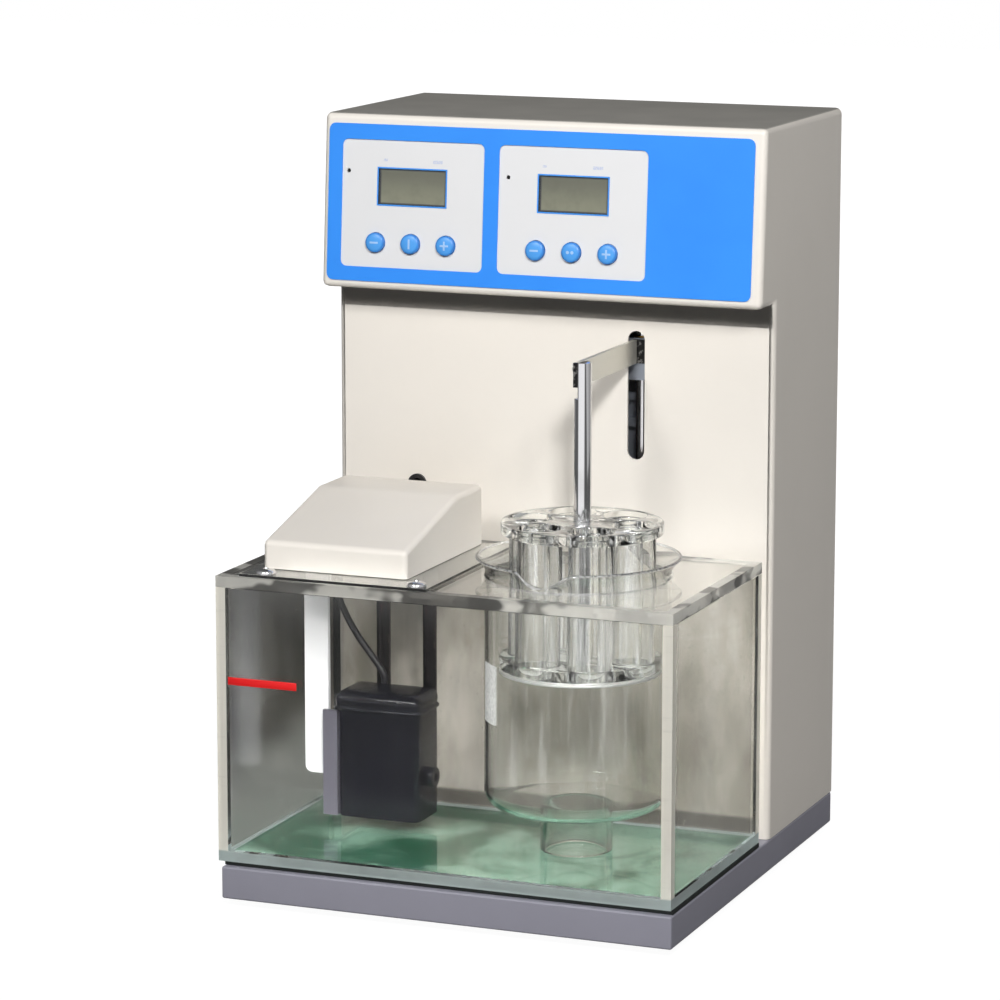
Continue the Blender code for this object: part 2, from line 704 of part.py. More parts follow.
def make_front_panel(face):
    half = CASE_WIDTH / 2
    windows = [rounded(left - half, right - half, WINDOW_LOW, WINDOW_HIGH, WINDOW_CORNER)
               for left, right in (TIME_WINDOW, HEAT_WINDOW)]
    border = rounded(OVERLAY_LEFT_EDGE - half, half - OVERLAY_RIGHT_EDGE, OVERLAY_LOW,
                     OVERLAY_HIGH, OVERLAY_CORNER)
    film = slab("panel_overlay", [border, *windows], OVERLAY_THICKNESS, "blue_film")
    film.location = (0, 0, FIT + OVERLAY_THICKNESS / 2)
    film.parent = face
    for name, middle in (("time", TIME_MIDDLE), ("temperature", HEAT_MIDDLE)):
        make_display(face, name, middle)
        make_lamp(face, name, middle)
        for label, step in (("down", -1), ("set", 0), ("up", 1)):
            make_button(face, f"{name}_{label}_button", middle + step * BUTTON_PITCH)
    make_board(face)


def switch_top():
    """Depth of the board's switches: the button's stem stops short of them by its travel."""
    stem_end = SHEET + FIT + BUTTON_FLANGE_LENGTH + BUTTON_STEM_LENGTH
    return stem_end + BUTTON_TRAVEL + FIT


def make_display(face, name, middle):
    wide, tall = DISPLAY_WIDTH / 2 - FIT, DISPLAY_HEIGHT / 2 - FIT
    back = switch_top() + SWITCH_HEIGHT - FIT
    obj = box(f"{name}_display", (middle - wide, DISPLAY_MIDDLE - tall, -back),
              (middle + wide, DISPLAY_MIDDLE + tall, -DISPLAY_RECESS), "display_glass")
    obj.parent = face


def make_lamp(face, name, middle):
    length = switch_top() + SWITCH_HEIGHT - FIT - LAMP_DEPTH
    obj = cylinder(f"{name}_lamp", (middle - LAMP_LEFT, LAMP_HEIGHT, -LAMP_DEPTH - length / 2),
                   LAMP_RADIUS, length, "Z", "lamp", 16)
    obj.parent = face


def make_button(face, name, across):
    under = -SHEET - FIT
    flange_end = under - BUTTON_FLANGE_LENGTH
    stem_end = flange_end - BUTTON_STEM_LENGTH
    crown = [(BUTTON_RADIUS * math.sin(a), BUTTON_RISE + BUTTON_CROWN * math.cos(a))
             for a in (math.radians(45.0 * i) for i in range(3))]
    profile = [*crown, (BUTTON_RADIUS, under), (BUTTON_RADIUS + BUTTON_FLANGE, under),
               (BUTTON_RADIUS + BUTTON_FLANGE, flange_end), (BUTTON_STEM, flange_end),
               (BUTTON_STEM, stem_end), (0, stem_end)]
    obj = turned(name, profile, (across, BUTTON_MIDDLE, 0), "blue_button", 20)
    obj.parent = face


def make_board(face):
    front = -switch_top() - SWITCH_HEIGHT
    left = TIME_MIDDLE - LAMP_LEFT - BOARD_MARGIN
    right = HEAT_MIDDLE + BUTTON_PITCH + BUTTON_RADIUS + BOARD_MARGIN + STANDOFF_INSET
    low, high = BUTTON_MIDDLE - BOARD_MARGIN, DISPLAY_MIDDLE + DISPLAY_HEIGHT / 2 + BOARD_MARGIN
    board = box("control_board", (left, low, front - BOARD_THICKNESS), (right, high, front),
                "circuit_board")
    board.parent = face

    def blocks(bm):
        sunk = front - BOARD_THICKNESS / 2
        for middle in (TIME_MIDDLE, HEAT_MIDDLE):
            for step in (-1, 0, 1):
                x = middle + step * BUTTON_PITCH
                put_box(bm, (x - SWITCH_SIDE / 2, BUTTON_MIDDLE - SWITCH_SIDE / 2, sunk),
                        (x + SWITCH_SIDE / 2, BUTTON_MIDDLE + SWITCH_SIDE / 2,
                         front + SWITCH_HEIGHT))
        top = -SHEET - FIT
        for x in (left + STANDOFF_INSET, right - STANDOFF_INSET):
            for y in (low + STANDOFF_INSET, high - STANDOFF_INSET):
                put_cylinder(bm, (x, y, (sunk + top) / 2), STANDOFF_RADIUS, top - sunk,
                             sides=16)

    tools = loose("add_board_blocks", blocks)
    tools.parent = face
    join(board, tools)


# Tank, cover, beaker and stand

def make_tank():
    tank = box("water_tank", (TANK_LEFT, TANK_Y, TANK_BOTTOM),
               (TANK_RIGHT, TANK_REAR_Y, TANK_RIM), "clear_acrylic")
    cut(tank, box("cut_tank_inside",
                  (TANK_LEFT + TANK_WALL, TANK_Y + TANK_WALL, TANK_FLOOR),
                  (TANK_RIGHT - TANK_WALL, TANK_REAR_Y - TANK_WALL, TANK_RIM + OVERRUN)))
    cover = box("tank_cover", (TANK_LEFT, TANK_Y, COVER_BOTTOM),
                (TANK_RIGHT, TANK_REAR_Y, COVER_TOP), "clear_acrylic")
    depth = COVER_THICKNESS + 2 * OVERRUN
    cut(cover, cylinder("cut_beaker_hole",
                        (ROD_X - BEAKER_LEFT, ROD_Y, (COVER_BOTTOM + COVER_TOP) / 2),
                        BEAKER_RADIUS + HOLE_GAP, depth, "Z", None, 64))
    low, high = unit_opening()
    cut(cover, box("cut_unit_opening", (*low, COVER_BOTTOM - OVERRUN),
                   (*high, COVER_TOP + OVERRUN)))


def unit_opening():
    """The opening that the heater unit passes through: round all that hangs below its plate."""
    p = unit_places()
    left = p["left"] + SENSOR_INSET - OVERRUN
    right = p["pump_right"] + NOZZLE_LENGTH + OVERRUN
    front = FRONT_Y + PUMP_FRONT - LID_PROUD - OVERRUN
    rear = FRONT_Y + HEATER_SETBACK + HEATER_RADIUS + OVERRUN
    return (left, front), (right, rear)


def beaker_profile():
    """Outer wall from the lip down, round the bottom corner, and back up inside."""
    outer, inner = BEAKER_RADIUS, BEAKER_RADIUS - BEAKER_WALL
    neck = BEAKER_HEIGHT - BEAKER_LIP_HEIGHT
    lip = BEAKER_RADIUS + BEAKER_LIP
    flare = [(0.35, 0.40), (0.75, 0.78), (1.0, 1.0)]
    outside = [(outer + BEAKER_LIP * out, neck + (BEAKER_HEIGHT - neck) * up)
               for out, up in reversed(flare)]
    outside.append((outer, neck))
    turns = [math.radians(30.0 * i) for i in range(4)]
    outside += [(outer - BEAKER_CORNER * (1 - math.cos(a)), BEAKER_CORNER * (1 - math.sin(a)))
                for a in turns]
    outside.append((0, 0))
    radius = BEAKER_CORNER - BEAKER_WALL
    inside = [(0, BEAKER_WALL)]
    inside += [(inner - radius * (1 - math.cos(a)),
                BEAKER_WALL + radius * (1 - math.sin(a))) for a in reversed(turns)]
    inside.append((inner, neck))
    inside += [(lip - BEAKER_WALL - BEAKER_LIP * (1 - out), neck + (BEAKER_HEIGHT - neck) * up)
               for out, up in flare]
    return outside, inside


def make_beaker():
    outside, inside = beaker_profile()
    place = (ROD_X - BEAKER_LEFT, ROD_Y, BASKET_BOTTOM - BEAKER_TO_BASKET)
    loop = [*outside, *inside]
    glass = frozen(turned("beaker", loop, place, "glass", 56, closed=True))
    neck = BEAKER_HEIGHT - BEAKER_LIP_HEIGHT
    for vertex in glass.data.vertices:
        x, y, z = vertex.co
        off = abs(math.atan2(y, x) + math.pi / 2)
        if z < neck or off > SPOUT_HALF_ANGLE or math.hypot(x, y) < WELD:
            continue
        pull = math.cos(off / SPOUT_HALF_ANGLE * math.pi / 2) ** 2
        pull *= (z - neck) / BEAKER_LIP_HEIGHT
        away = Vector((x, y, 0)).normalized() * SPOUT_REACH * pull
        vertex.co += away + Vector((0, 0, -SPOUT_DIP * pull))
    glass.data.update()
    hang(smooth(glass), empty("beaker_lift_axis", place))
    ring("beaker_stand", STAND_RADIUS, STAND_RADIUS - STAND_WALL,
         place[2] - TANK_FLOOR - 2 * FIT, (place[0], place[1], TANK_FLOOR + FIT),
         "clear_acrylic", 40)


# Lifting arm, guide and drive

def lift_places():
    """Depths and heights of the guide, slider, yoke, crank and frame, front to back."""
    p = {"guide_x": ROD_X - GUIDE_LEFT, "guide_y": COLUMN_Y + GUIDE_SETBACK}
    p["slider_bottom"] = ARM_BOTTOM - SLIDER_BELOW_ARM
    p["slider_top"] = p["slider_bottom"] + SLIDER_HEIGHT
    p["slider_front"] = p["guide_y"] - SLIDER_DEPTH / 2
    p["slider_rear"] = p["guide_y"] + SLIDER_DEPTH / 2
    p["yoke_front"] = p["slider_rear"] + FIT
    p["yoke_rear"] = p["yoke_front"] + YOKE_THICKNESS
    p["slot_z"] = p["slider_bottom"] - YOKE_DROP
    p["crank_z"] = p["slot_z"] - (CRANK_RADIUS - RISE_LEFT)
    p["roller_front"] = p["yoke_rear"] + ROLLER_GAP
    p["roller_rear"] = p["roller_front"] + ROLLER_LENGTH
    p["disc_front"] = p["roller_rear"] + FIT
    p["disc_rear"] = p["disc_front"] + CRANK_THICKNESS
    p["frame_front"] = p["disc_rear"] + FRAME_GAP
    p["frame_rear"] = p["frame_front"] + FRAME_THICKNESS
    p["clamp_low"] = p["slider_bottom"] - DROP_LEFT - YOKE_DROP - YOKE_BAR / 2 - CLAMP_GAP / 2
    p["clamp_high"] = p["slider_top"] + RISE_LEFT + CLAMP_GAP
    return p


def make_arm(p, carriage):
    """The arm: a bar on edge with a foot bent to the right, behind the column's front."""
    front = ROD_Y - ARM_NOSE
    left, right = ARM_X - ARM_THICKNESS / 2, ARM_X + ARM_THICKNESS / 2
    rear = p["slider_front"] - FIT
    foot = p["guide_x"] + SLIDER_WIDTH / 2
    outline = [(left, front), (right, front), (right, rear - ARM_THICKNESS),
               (foot, rear - ARM_THICKNESS), (foot, rear), (left, rear)]
    arm = slab("lift_arm", [outline], ARM_HEIGHT, "steel", (0, 0, 0),
               (0, 0, ARM_BOTTOM + ARM_HEIGHT / 2))
    wide = HANG_PIN_RADIUS + FIT
    notch_z = ARM_TOP - HANG_PIN_DROP
    across = ARM_THICKNESS + 2 * OVERRUN

    def notch(bm):
        put_box(bm, (ARM_X - across / 2, ROD_Y - wide, notch_z),
                (ARM_X + across / 2, ROD_Y + wide, ARM_TOP + OVERRUN))

    cut(arm, loose("cut_arm_notch", notch))
    cut(arm, cylinder("cut_arm_notch_seat", (ARM_X, ROD_Y, notch_z), wide, across, "X"))
    hang(arm, carriage)


def make_slider(p, carriage):
    x, y = p["guide_x"], p["guide_y"]
    block = box("slider_block", (x - SLIDER_WIDTH / 2, p["slider_front"], p["slider_bottom"]),
                (x + SLIDER_WIDTH / 2, p["slider_rear"], p["slider_top"]), "steel")
    middle = (p["slider_bottom"] + p["slider_top"]) / 2
    bush_outer = GUIDE_RADIUS + FIT + BUSH_WALL
    cut(block, cylinder("cut_slider_bore", (x, y, middle), bush_outer + FIT,
                        SLIDER_HEIGHT + 2 * OVERRUN, "Z"))
    hang(block, carriage)
    bush = ring("guide_bush", bush_outer, GUIDE_RADIUS + FIT, SLIDER_HEIGHT + 2 * BUSH_PROUD,
                (x, y, p["slider_bottom"] - BUSH_PROUD), "bronze", 24)
    hang(bush, carriage)
    tab, bar = YOKE_TAB / 2, YOKE_BAR / 2
    low, high = p["slot_z"] - bar, p["slot_z"] + bar
    outline = [(x - YOKE_WIDTH / 2, low), (x + YOKE_WIDTH / 2, low), (x + YOKE_WIDTH / 2, high),
               (x + tab, high), (x + tab, p["slider_top"]), (x - tab, p["slider_top"]),
               (x - tab, high), (x - YOKE_WIDTH / 2, high)]
    reach = CRANK_RADIUS + ROLLER_RADIUS + FIT
    wide = ROLLER_RADIUS + FIT
    slot = rounded(x - reach, x + reach, p["slot_z"] - wide, p["slot_z"] + wide, wide - WELD, 6)
    yoke = slab("yoke", [outline, slot], YOKE_THICKNESS, "steel", FACING,
                (0, p["yoke_front"] + YOKE_THICKNESS / 2, 0))
    hang(yoke, carriage)


def make_crank(p):
    x, z = p["guide_x"], p["crank_z"]
    axis = empty("crank_axis", (x, p["disc_rear"], z))
    disc = cylinder("crank_disc", (x, (p["disc_front"] + p["disc_rear"]) / 2, z),
                    CRANK_RADIUS + CRANK_RIM, CRANK_THICKNESS, "Y", "steel", 48)
    pin_x = x + CRANK_RADIUS * math.sin(CRANK_ANGLE)
    pin_z = z + CRANK_RADIUS * math.cos(CRANK_ANGLE)
    middle = (p["disc_front"] + p["disc_rear"]) / 2

    def additions(bm):
        shaft_end = p["disc_rear"] + SHAFT_LENGTH
        put_cylinder(bm, (x, (middle + shaft_end) / 2, z), SHAFT_RADIUS, shaft_end - middle, "Y",
                     24)
        pin_end = p["roller_front"] - FIT
        put_cylinder(bm, (pin_x, (middle + pin_end) / 2, pin_z), PIN_RADIUS, middle - pin_end,
                     "Y", 20)

    join(disc, loose("add_crank_shaft", additions))
    hub_front = p["disc_front"] - HUB_LENGTH
    join(disc, cylinder("add_crank_hub", (x, (hub_front + middle) / 2, z), HUB_RADIUS,
                        middle - hub_front, "Y"))
    hang(disc, axis)
    roller = ring("pin_roller", ROLLER_RADIUS, PIN_RADIUS + FIT, ROLLER_LENGTH, (0, 0, 0),
                  "bronze", 24)
    roller.rotation_euler = (math.pi / 2, 0, 0)
    roller.location = (pin_x, p["roller_rear"], pin_z)
    hang(roller, axis)


def make_frame(p):
    """The fixed frame: an upright plate on a foot, with two clamps for the guide rod."""
    x, y, z = p["guide_x"], p["guide_y"], p["crank_z"]
    top = ARM_TOP + FRAME_ABOVE_ARM
    plate = box("lift_frame", (x - FRAME_WIDTH / 2, p["frame_front"], BASE_TOP + FIT),
                (x + FRAME_WIDTH / 2, p["frame_rear"], top), "zinc_paint")
    inside = (p["frame_front"] + p["frame_rear"]) / 2

    def additions(bm):
        put_box(bm, (x - FRAME_WIDTH / 2 + FRAME_THICKNESS, inside, BASE_TOP + FIT),
                (x + FRAME_WIDTH / 2 - FRAME_THICKNESS, p["frame_rear"] + FRAME_FOOT,
                 BASE_TOP + FIT + FRAME_THICKNESS))
        for low in (p["clamp_low"] - CLAMP_HEIGHT, p["clamp_high"]):
            put_box(bm, (x - CLAMP_WIDTH / 2, y - CLAMP_REACH, low),
                    (x + CLAMP_WIDTH / 2, inside, low + CLAMP_HEIGHT))

    join(plate, loose("add_frame_clamps", additions))
    cut(plate, cylinder("cut_frame_shaft", (x, inside, z), SHAFT_RADIUS + FIT,
                        FRAME_THICKNESS + 2 * OVERRUN, "Y", None, 24))
    low = p["clamp_low"] - CLAMP_HEIGHT - ROD_END
    high = p["clamp_high"] + CLAMP_HEIGHT + ROD_END
    cut(plate, cylinder("cut_frame_rod", (x, y, (low + high) / 2), GUIDE_RADIUS + FIT,
                        high - low, "Z", None, 24))
    cylinder("guide_rod", (x, y, (low + high) / 2), GUIDE_RADIUS, high - low, "Z", "chrome", 24)


def make_motor(p):
    x, z = p["guide_x"], p["crank_z"]
    front = p["frame_rear"] + FIT
    half = GEARBOX_WIDTH / 2
    motor = box("gear_motor", (x - half, front, z - half), (x + half, front + GEARBOX_DEPTH,
                                                            z + half), "zinc_paint")
    rear = REAR_Y - REAR_RECESS - SHEET - MOTOR_CLEARANCE
    inside = front + GEARBOX_DEPTH / 2
    join(motor, cylinder("add_motor_can", (x, (inside + rear) / 2, z), MOTOR_RADIUS,
                         rear - inside, "Y", None, 40))
    end = p["disc_rear"] + SHAFT_LENGTH + FIT
    cut(motor, cylinder("cut_motor_bore", (x, (front - OVERRUN + end) / 2, z),
                        SHAFT_RADIUS + FIT, end - front + OVERRUN, "Y", None, 24))


# Basket

def tube_places():
    angles = [math.radians(60.0 * i) for i in range(6)]
    return [(TUBE_CIRCLE * math.cos(a), TUBE_CIRCLE * math.sin(a)) for a in angles]


def pierced_disc(name, radius, holes, middle_hole, low, thickness, look, sides=56):
    outlines = [circle(0, 0, radius, sides), circle(0, 0, middle_hole, 20)]
    outlines += [circle(x, y, holes, 24) for x, y in tube_places()]
    return slab(name, outlines, thickness, look, (0, 0, 0), (ROD_X, ROD_Y, low + thickness / 2))


def cloth_outlines():
    """A round sheet of square gaps: those that lie wholly inside its plain edge."""
    gap = (CLOTH_PITCH - CLOTH_WIRE) / 2
    reach = CLOTH_RADIUS - CLOTH_EDGE
    count = int(reach // CLOTH_PITCH) + 1
    outlines = [circle(0, 0, CLOTH_RADIUS, 56), circle(0, 0, SPIGOT_RADIUS + FIT, 12)]
    for i in range(-count, count + 1):
        for j in range(-count, count + 1):
            x, y = i * CLOTH_PITCH, j * CLOTH_PITCH
            corner = math.hypot(abs(x) + gap, abs(y) + gap)
            if corner < reach and max(abs(i), abs(j)) > 1:
                outlines.append([(x - gap, y - gap), (x + gap, y - gap), (x + gap, y + gap),
                                 (x - gap, y + gap)])
    return outlines


def make_basket(carriage):
    hanger = hang(empty("basket_hanger", (ROD_X, ROD_Y, ARM_TOP)), carriage)
    low = BASKET_BOTTOM
    pieces = [pierced_disc("mesh_retainer", PLATE_RADIUS, RETAINER_HOLE, SPIGOT_RADIUS + FIT,
                           low, RETAINER_THICKNESS, "steel")]
    low += RETAINER_THICKNESS + FIT
    pieces.append(slab("wire_cloth", cloth_outlines(), CLOTH_THICKNESS, "steel", (0, 0, 0),
                       (ROD_X, ROD_Y, low + CLOTH_THICKNESS / 2)))
    low += CLOTH_THICKNESS + FIT
    hole = TUBE_RADIUS + FIT
    pieces.append(pierced_disc("basket_lower_plate", PLATE_RADIUS, hole, SPIGOT_RADIUS + FIT,
                               low, PLATE_THICKNESS, "clear_acrylic"))
    top = BASKET_BOTTOM + BASKET_HEIGHT
    pieces.append(pierced_disc("basket_upper_plate", PLATE_RADIUS, hole, ROD_RADIUS + FIT,
                               top - PLATE_THICKNESS, PLATE_THICKNESS, "clear_acrylic"))
    for number, (x, y) in enumerate(tube_places(), 1):
        pieces.append(ring(f"glass_tube_{number}", TUBE_RADIUS, TUBE_RADIUS - TUBE_WALL,
                           TUBE_LENGTH, (ROD_X + x, ROD_Y + y, low), "glass", 24))
    pieces += make_hanger_rod(low + PLATE_THICKNESS + FIT, top - PLATE_THICKNESS - FIT)
    for piece in pieces:
        hang(piece, hanger)


def make_hanger_rod(seat, collar_top):
    """Rod with a collar under the upper plate and a spigot through the lower one.
    Its top has a flat on the left for the arm, and a headed pin that lies in the arm's notch."""
    zero = BASKET_BOTTOM
    collar = [(ROD_RADIUS, collar_top - zero), (COLLAR_RADIUS, collar_top - zero),
              (COLLAR_RADIUS, collar_top - COLLAR_HEIGHT - zero),
              (ROD_RADIUS, collar_top - COLLAR_HEIGHT - zero)]
    profile = [(0, ARM_TOP - zero), (ROD_RADIUS, ARM_TOP - zero), *collar,
               (ROD_RADIUS, seat - zero), (SPIGOT_RADIUS, seat - zero), (SPIGOT_RADIUS, 0),
               (0, 0)]
    rod = turned("hanger_rod", profile, (ROD_X, ROD_Y, zero), "chrome", 28)
    low = ARM_TOP - ROD_FLAT_HEIGHT
    cut(rod, box("cut_rod_flat", (ROD_X - ROD_RADIUS - OVERRUN, ROD_Y - ROD_RADIUS - OVERRUN, low),
                 (ROD_X - ROD_FLAT, ROD_Y + ROD_RADIUS + OVERRUN, ARM_TOP + OVERRUN)))
    pin_z = ARM_TOP - HANG_PIN_DROP
    root = HANG_PIN_ROOT + FIT
    cut(rod, cylinder("cut_rod_pin_hole", (ROD_X + (root - ROD_RADIUS) / 2, ROD_Y, pin_z),
                      HANG_PIN_RADIUS + FIT, root + ROD_RADIUS, "X", None, 20))
    head = ARM_OFFSET + ARM_THICKNESS / 2 + FIT + HANG_PIN_HEAD_LENGTH
    neck = head - HANG_PIN_HEAD_LENGTH
    profile = [(0, HANG_PIN_ROOT), (HANG_PIN_RADIUS, HANG_PIN_ROOT), (HANG_PIN_RADIUS, -neck),
               (HANG_PIN_HEAD, -neck), (HANG_PIN_HEAD, -head), (0, -head)]
    pin = turned("hanging_pin", profile, (ROD_X, ROD_Y, pin_z), "steel", 20)
    pin.rotation_euler = (0, math.pi / 2, 0)
    return [rod, pin]


# Heater and pump unit

def unit_places():
    p = {"left": CASE_LEFT + CASE_WIDTH * HOUSING_SIDE_SHARE,
         "front": FRONT_Y + HOUSING_FRONT}
    p["right"] = p["left"] + HOUSING_WIDTH
    p["rear"] = p["front"] + HOUSING_DEPTH
    p["plate_low"] = COVER_TOP + FIT
    p["plate_top"] = p["plate_low"] + PLATE_SHEET
    p["leg_right"] = p["left"] + HEATER_FROM_LEFT
    p["leg_left"] = p["leg_right"] - HEATER_SPAN
    p["leg_y"] = FRONT_Y + HEATER_SETBACK
    p["pump_left"] = p["left"] + PUMP_FROM_LEFT
    p["pump_right"] = p["pump_left"] + PUMP_WIDTH
    p["pump_front"] = FRONT_Y + PUMP_FRONT
    p["pump_rear"] = p["pump_front"] + PUMP_DEPTH
    p["pump_low"] = TANK_FLOOR + PUMP_ABOVE_FLOOR
    p["pump_top"] = p["pump_low"] + PUMP_HEIGHT
    p["well_x"] = (p["pump_left"] + p["pump_right"]) / 2 - WELL_SHIFT
    p["well_y"] = (p["pump_front"] + p["pump_rear"]) / 2
    p["cable_x"] = p["left"] + CABLE_FROM_LEFT
    p["gland_x"] = p["pump_left"] + CABLE_GLAND
    p["gland_y"] = p["pump_front"] + CABLE_SETBACK
    p["gland_top"] = p["pump_top"] + FIT + LID_HEIGHT + GLAND_HEIGHT
    return p


def make_mounting_plate(p):
    right = ROD_X - BEAKER_LEFT - BEAKER_RADIUS - PLATE_TO_BEAKER
    plate = box("mounting_plate", (p["left"] - PLATE_LEFT, FRONT_Y + PLATE_FRONT, p["plate_low"]),
                (right, p["rear"] + PLATE_REAR, p["plate_top"]), "clear_acrylic")

    def holes(bm):
        middle = (p["plate_low"] + p["plate_top"]) / 2
        depth = PLATE_SHEET + 2 * OVERRUN
        for x in (p["leg_left"], p["leg_right"]):
            put_cylinder(bm, (x, p["leg_y"], middle), HEATER_RADIUS + FIT, depth, sides=20)
        put_cylinder(bm, (p["cable_x"], p["gland_y"], middle), CABLE_RADIUS + FIT, depth,
                     sides=16)

    return cut(plate, loose("cut_plate_holes", holes))


def housing_outline(p, inset):
    """Side view of the housing: upright nose, slope, flat top, upright back."""
    low = p["plate_top"] + FIT
    drop = OVERRUN if inset else 0.0
    slope = math.atan2(HOUSING_RISE - HOUSING_NOSE, HOUSING_KNEE)
    front, rear = p["front"] + inset, p["rear"] - inset
    shift = inset * math.tan((math.pi / 2 - slope) / 2)
    nose = (front, low + HOUSING_NOSE - shift)
    knee_y = p["front"] + HOUSING_KNEE + inset * math.tan(slope / 2)
    top = low + HOUSING_RISE - inset
    return [(front, low - drop), nose, (knee_y, top), (rear, top), (rear, low - drop)]


def make_housing(p):
    middle = (p["left"] + p["right"]) / 2
    shell = slab("heater_housing", [housing_outline(p, 0.0)], HOUSING_WIDTH, "ivory_paint",
                 SIDEWAYS, (middle, 0, 0))
    low = p["plate_top"] + FIT

    def wanted(a, b):
        return not (a.y < low + WELD and b.y < low + WELD)

    bm = bmesh.new()
    bm.from_mesh(shell.data)
    bmesh.ops.dissolve_limit(bm, angle_limit=math.radians(1.0), verts=bm.verts, edges=bm.edges)
    round_edges(bm, HOUSING_EDGE, 3, wanted)
    bm.to_mesh(shell.data)
    bm.free()
    cut(shell, slab("cut_housing_inside", [housing_outline(p, HOUSING_WALL)],
                    HOUSING_WIDTH - 2 * HOUSING_WALL, None, SIDEWAYS, (middle, 0, 0)))
    return smooth(shell)


def tube_along(name, points, radius, look, resolution):
    curve = bpy.data.curves.new(name, "CURVE")
    curve.dimensions = "3D"
    curve.bevel_depth = radius
    curve.bevel_resolution = resolution
    curve.use_fill_caps = True
    spline = curve.splines.new("POLY")
    spline.points.add(len(points) - 1)
    for point, co in zip(spline.points, points):
        point.co = (*co, 1)
    return frozen(add(name, curve, look))


def make_heater(p):
    """U-shaped heater: two straight legs and a half-circle bend."""
    bend = HEATER_SPAN / 2
    middle = (p["leg_left"] + p["leg_right"]) / 2
    centre = p["plate_low"] - HEATER_DEPTH + bend
    top = p["plate_top"] + CABLE_ENTRY_UP
    turns = [math.pi * i / 10 for i in range(11)]
    points = [(p["leg_left"], p["leg_y"], top)]
    points += [(middle - bend * math.cos(a), p["leg_y"], centre - bend * math.sin(a))
               for a in turns]
    points.append((p["leg_right"], p["leg_y"], top))
    return smooth(tube_along("heater_tube", points, HEATER_RADIUS, "chrome", 3))


def make_sensor(p):
    """White sensor strip that hangs from the mounting plate, with a round lower left corner."""
    left = p["left"] + SENSOR_INSET
    top = p["plate_low"] - FIT
    low = top - SENSOR_LENGTH
    arc = [math.radians(180 + 90 * i / 4) for i in range(5)]
    outline = [(left, top)]
    outline += [(left + SENSOR_CORNER * (1 + math.cos(a)), low + SENSOR_CORNER * (1 + math.sin(a)))
                for a in arc]
    outline += [(left + SENSOR_WIDTH, low), (left + SENSOR_WIDTH, top)]
    return slab("level_sensor", [outline], SENSOR_THICKNESS, "white_plastic", FACING,
                (0, FRONT_Y + SENSOR_SETBACK, 0))


def make_pump(p):
    body = box("pump_body", (p["pump_left"], p["pump_front"], p["pump_low"]),
               (p["pump_right"], p["pump_rear"], p["pump_top"]), "black_plastic", PUMP_CORNER, 3,
               upright)
    nozzle_z = p["pump_low"] + NOZZLE_RISE
    end = p["pump_right"] + NOZZLE_LENGTH
    root = p["pump_right"] - PUMP_WALL
    join(body, cylinder("add_pump_nozzle", ((root + end) / 2, p["well_y"], nozzle_z),
                        NOZZLE_RADIUS, end - root, "X", None, 24))
    right = p["pump_right"] - PANEL_RIGHT
    cut(body, box("cut_pump_panel", (right - PANEL_WIDTH, p["pump_front"] - OVERRUN,
                                     p["pump_low"] + PANEL_RISE),
                  (right, p["pump_front"] + PANEL_DEPTH, p["pump_top"] - PANEL_TOP)))
    top = p["pump_low"] + WELL_HEIGHT
    cut(body, cylinder("cut_pump_well", (p["well_x"], p["well_y"],
                                         (p["pump_low"] - OVERRUN + top) / 2),
                       WELL_RADIUS, WELL_HEIGHT + OVERRUN, "Z", None, 32))
    cut(body, cylinder("cut_pump_outlet", ((p["well_x"] + end + OVERRUN) / 2, p["well_y"],
                                           nozzle_z),
                       NOZZLE_BORE, end + OVERRUN - p["well_x"], "X", None, 16))
    axle_top = top + AXLE_LENGTH
    cut(body, cylinder("cut_pump_axle", (p["well_x"], p["well_y"], (top + axle_top) / 2),
                       AXLE_RADIUS + FIT, axle_top - top + OVERRUN, "Z", None, 12))
    smooth(body)
    lid_low = p["pump_top"] + FIT

    def wanted(a, b):
        return upright(a, b) or (a.z > 0 and b.z > 0)

    lid = box("pump_lid", (p["pump_left"] - LID_PROUD_LEFT, p["pump_front"] - LID_PROUD, lid_low),
              (p["pump_right"] + LID_PROUD, p["pump_rear"] + LID_PROUD, lid_low + LID_HEIGHT),
              "black_plastic", LID_EDGE, 3, wanted)
    gland = p["gland_top"] - GLAND_HEIGHT - LID_HEIGHT / 2
    join(lid, cylinder("add_pump_gland", (p["gland_x"], p["gland_y"],
                                          (gland + p["gland_top"]) / 2), GLAND_RADIUS,
                       p["gland_top"] - gland, "Z", None, 20))
    return [body, smooth(lid)]


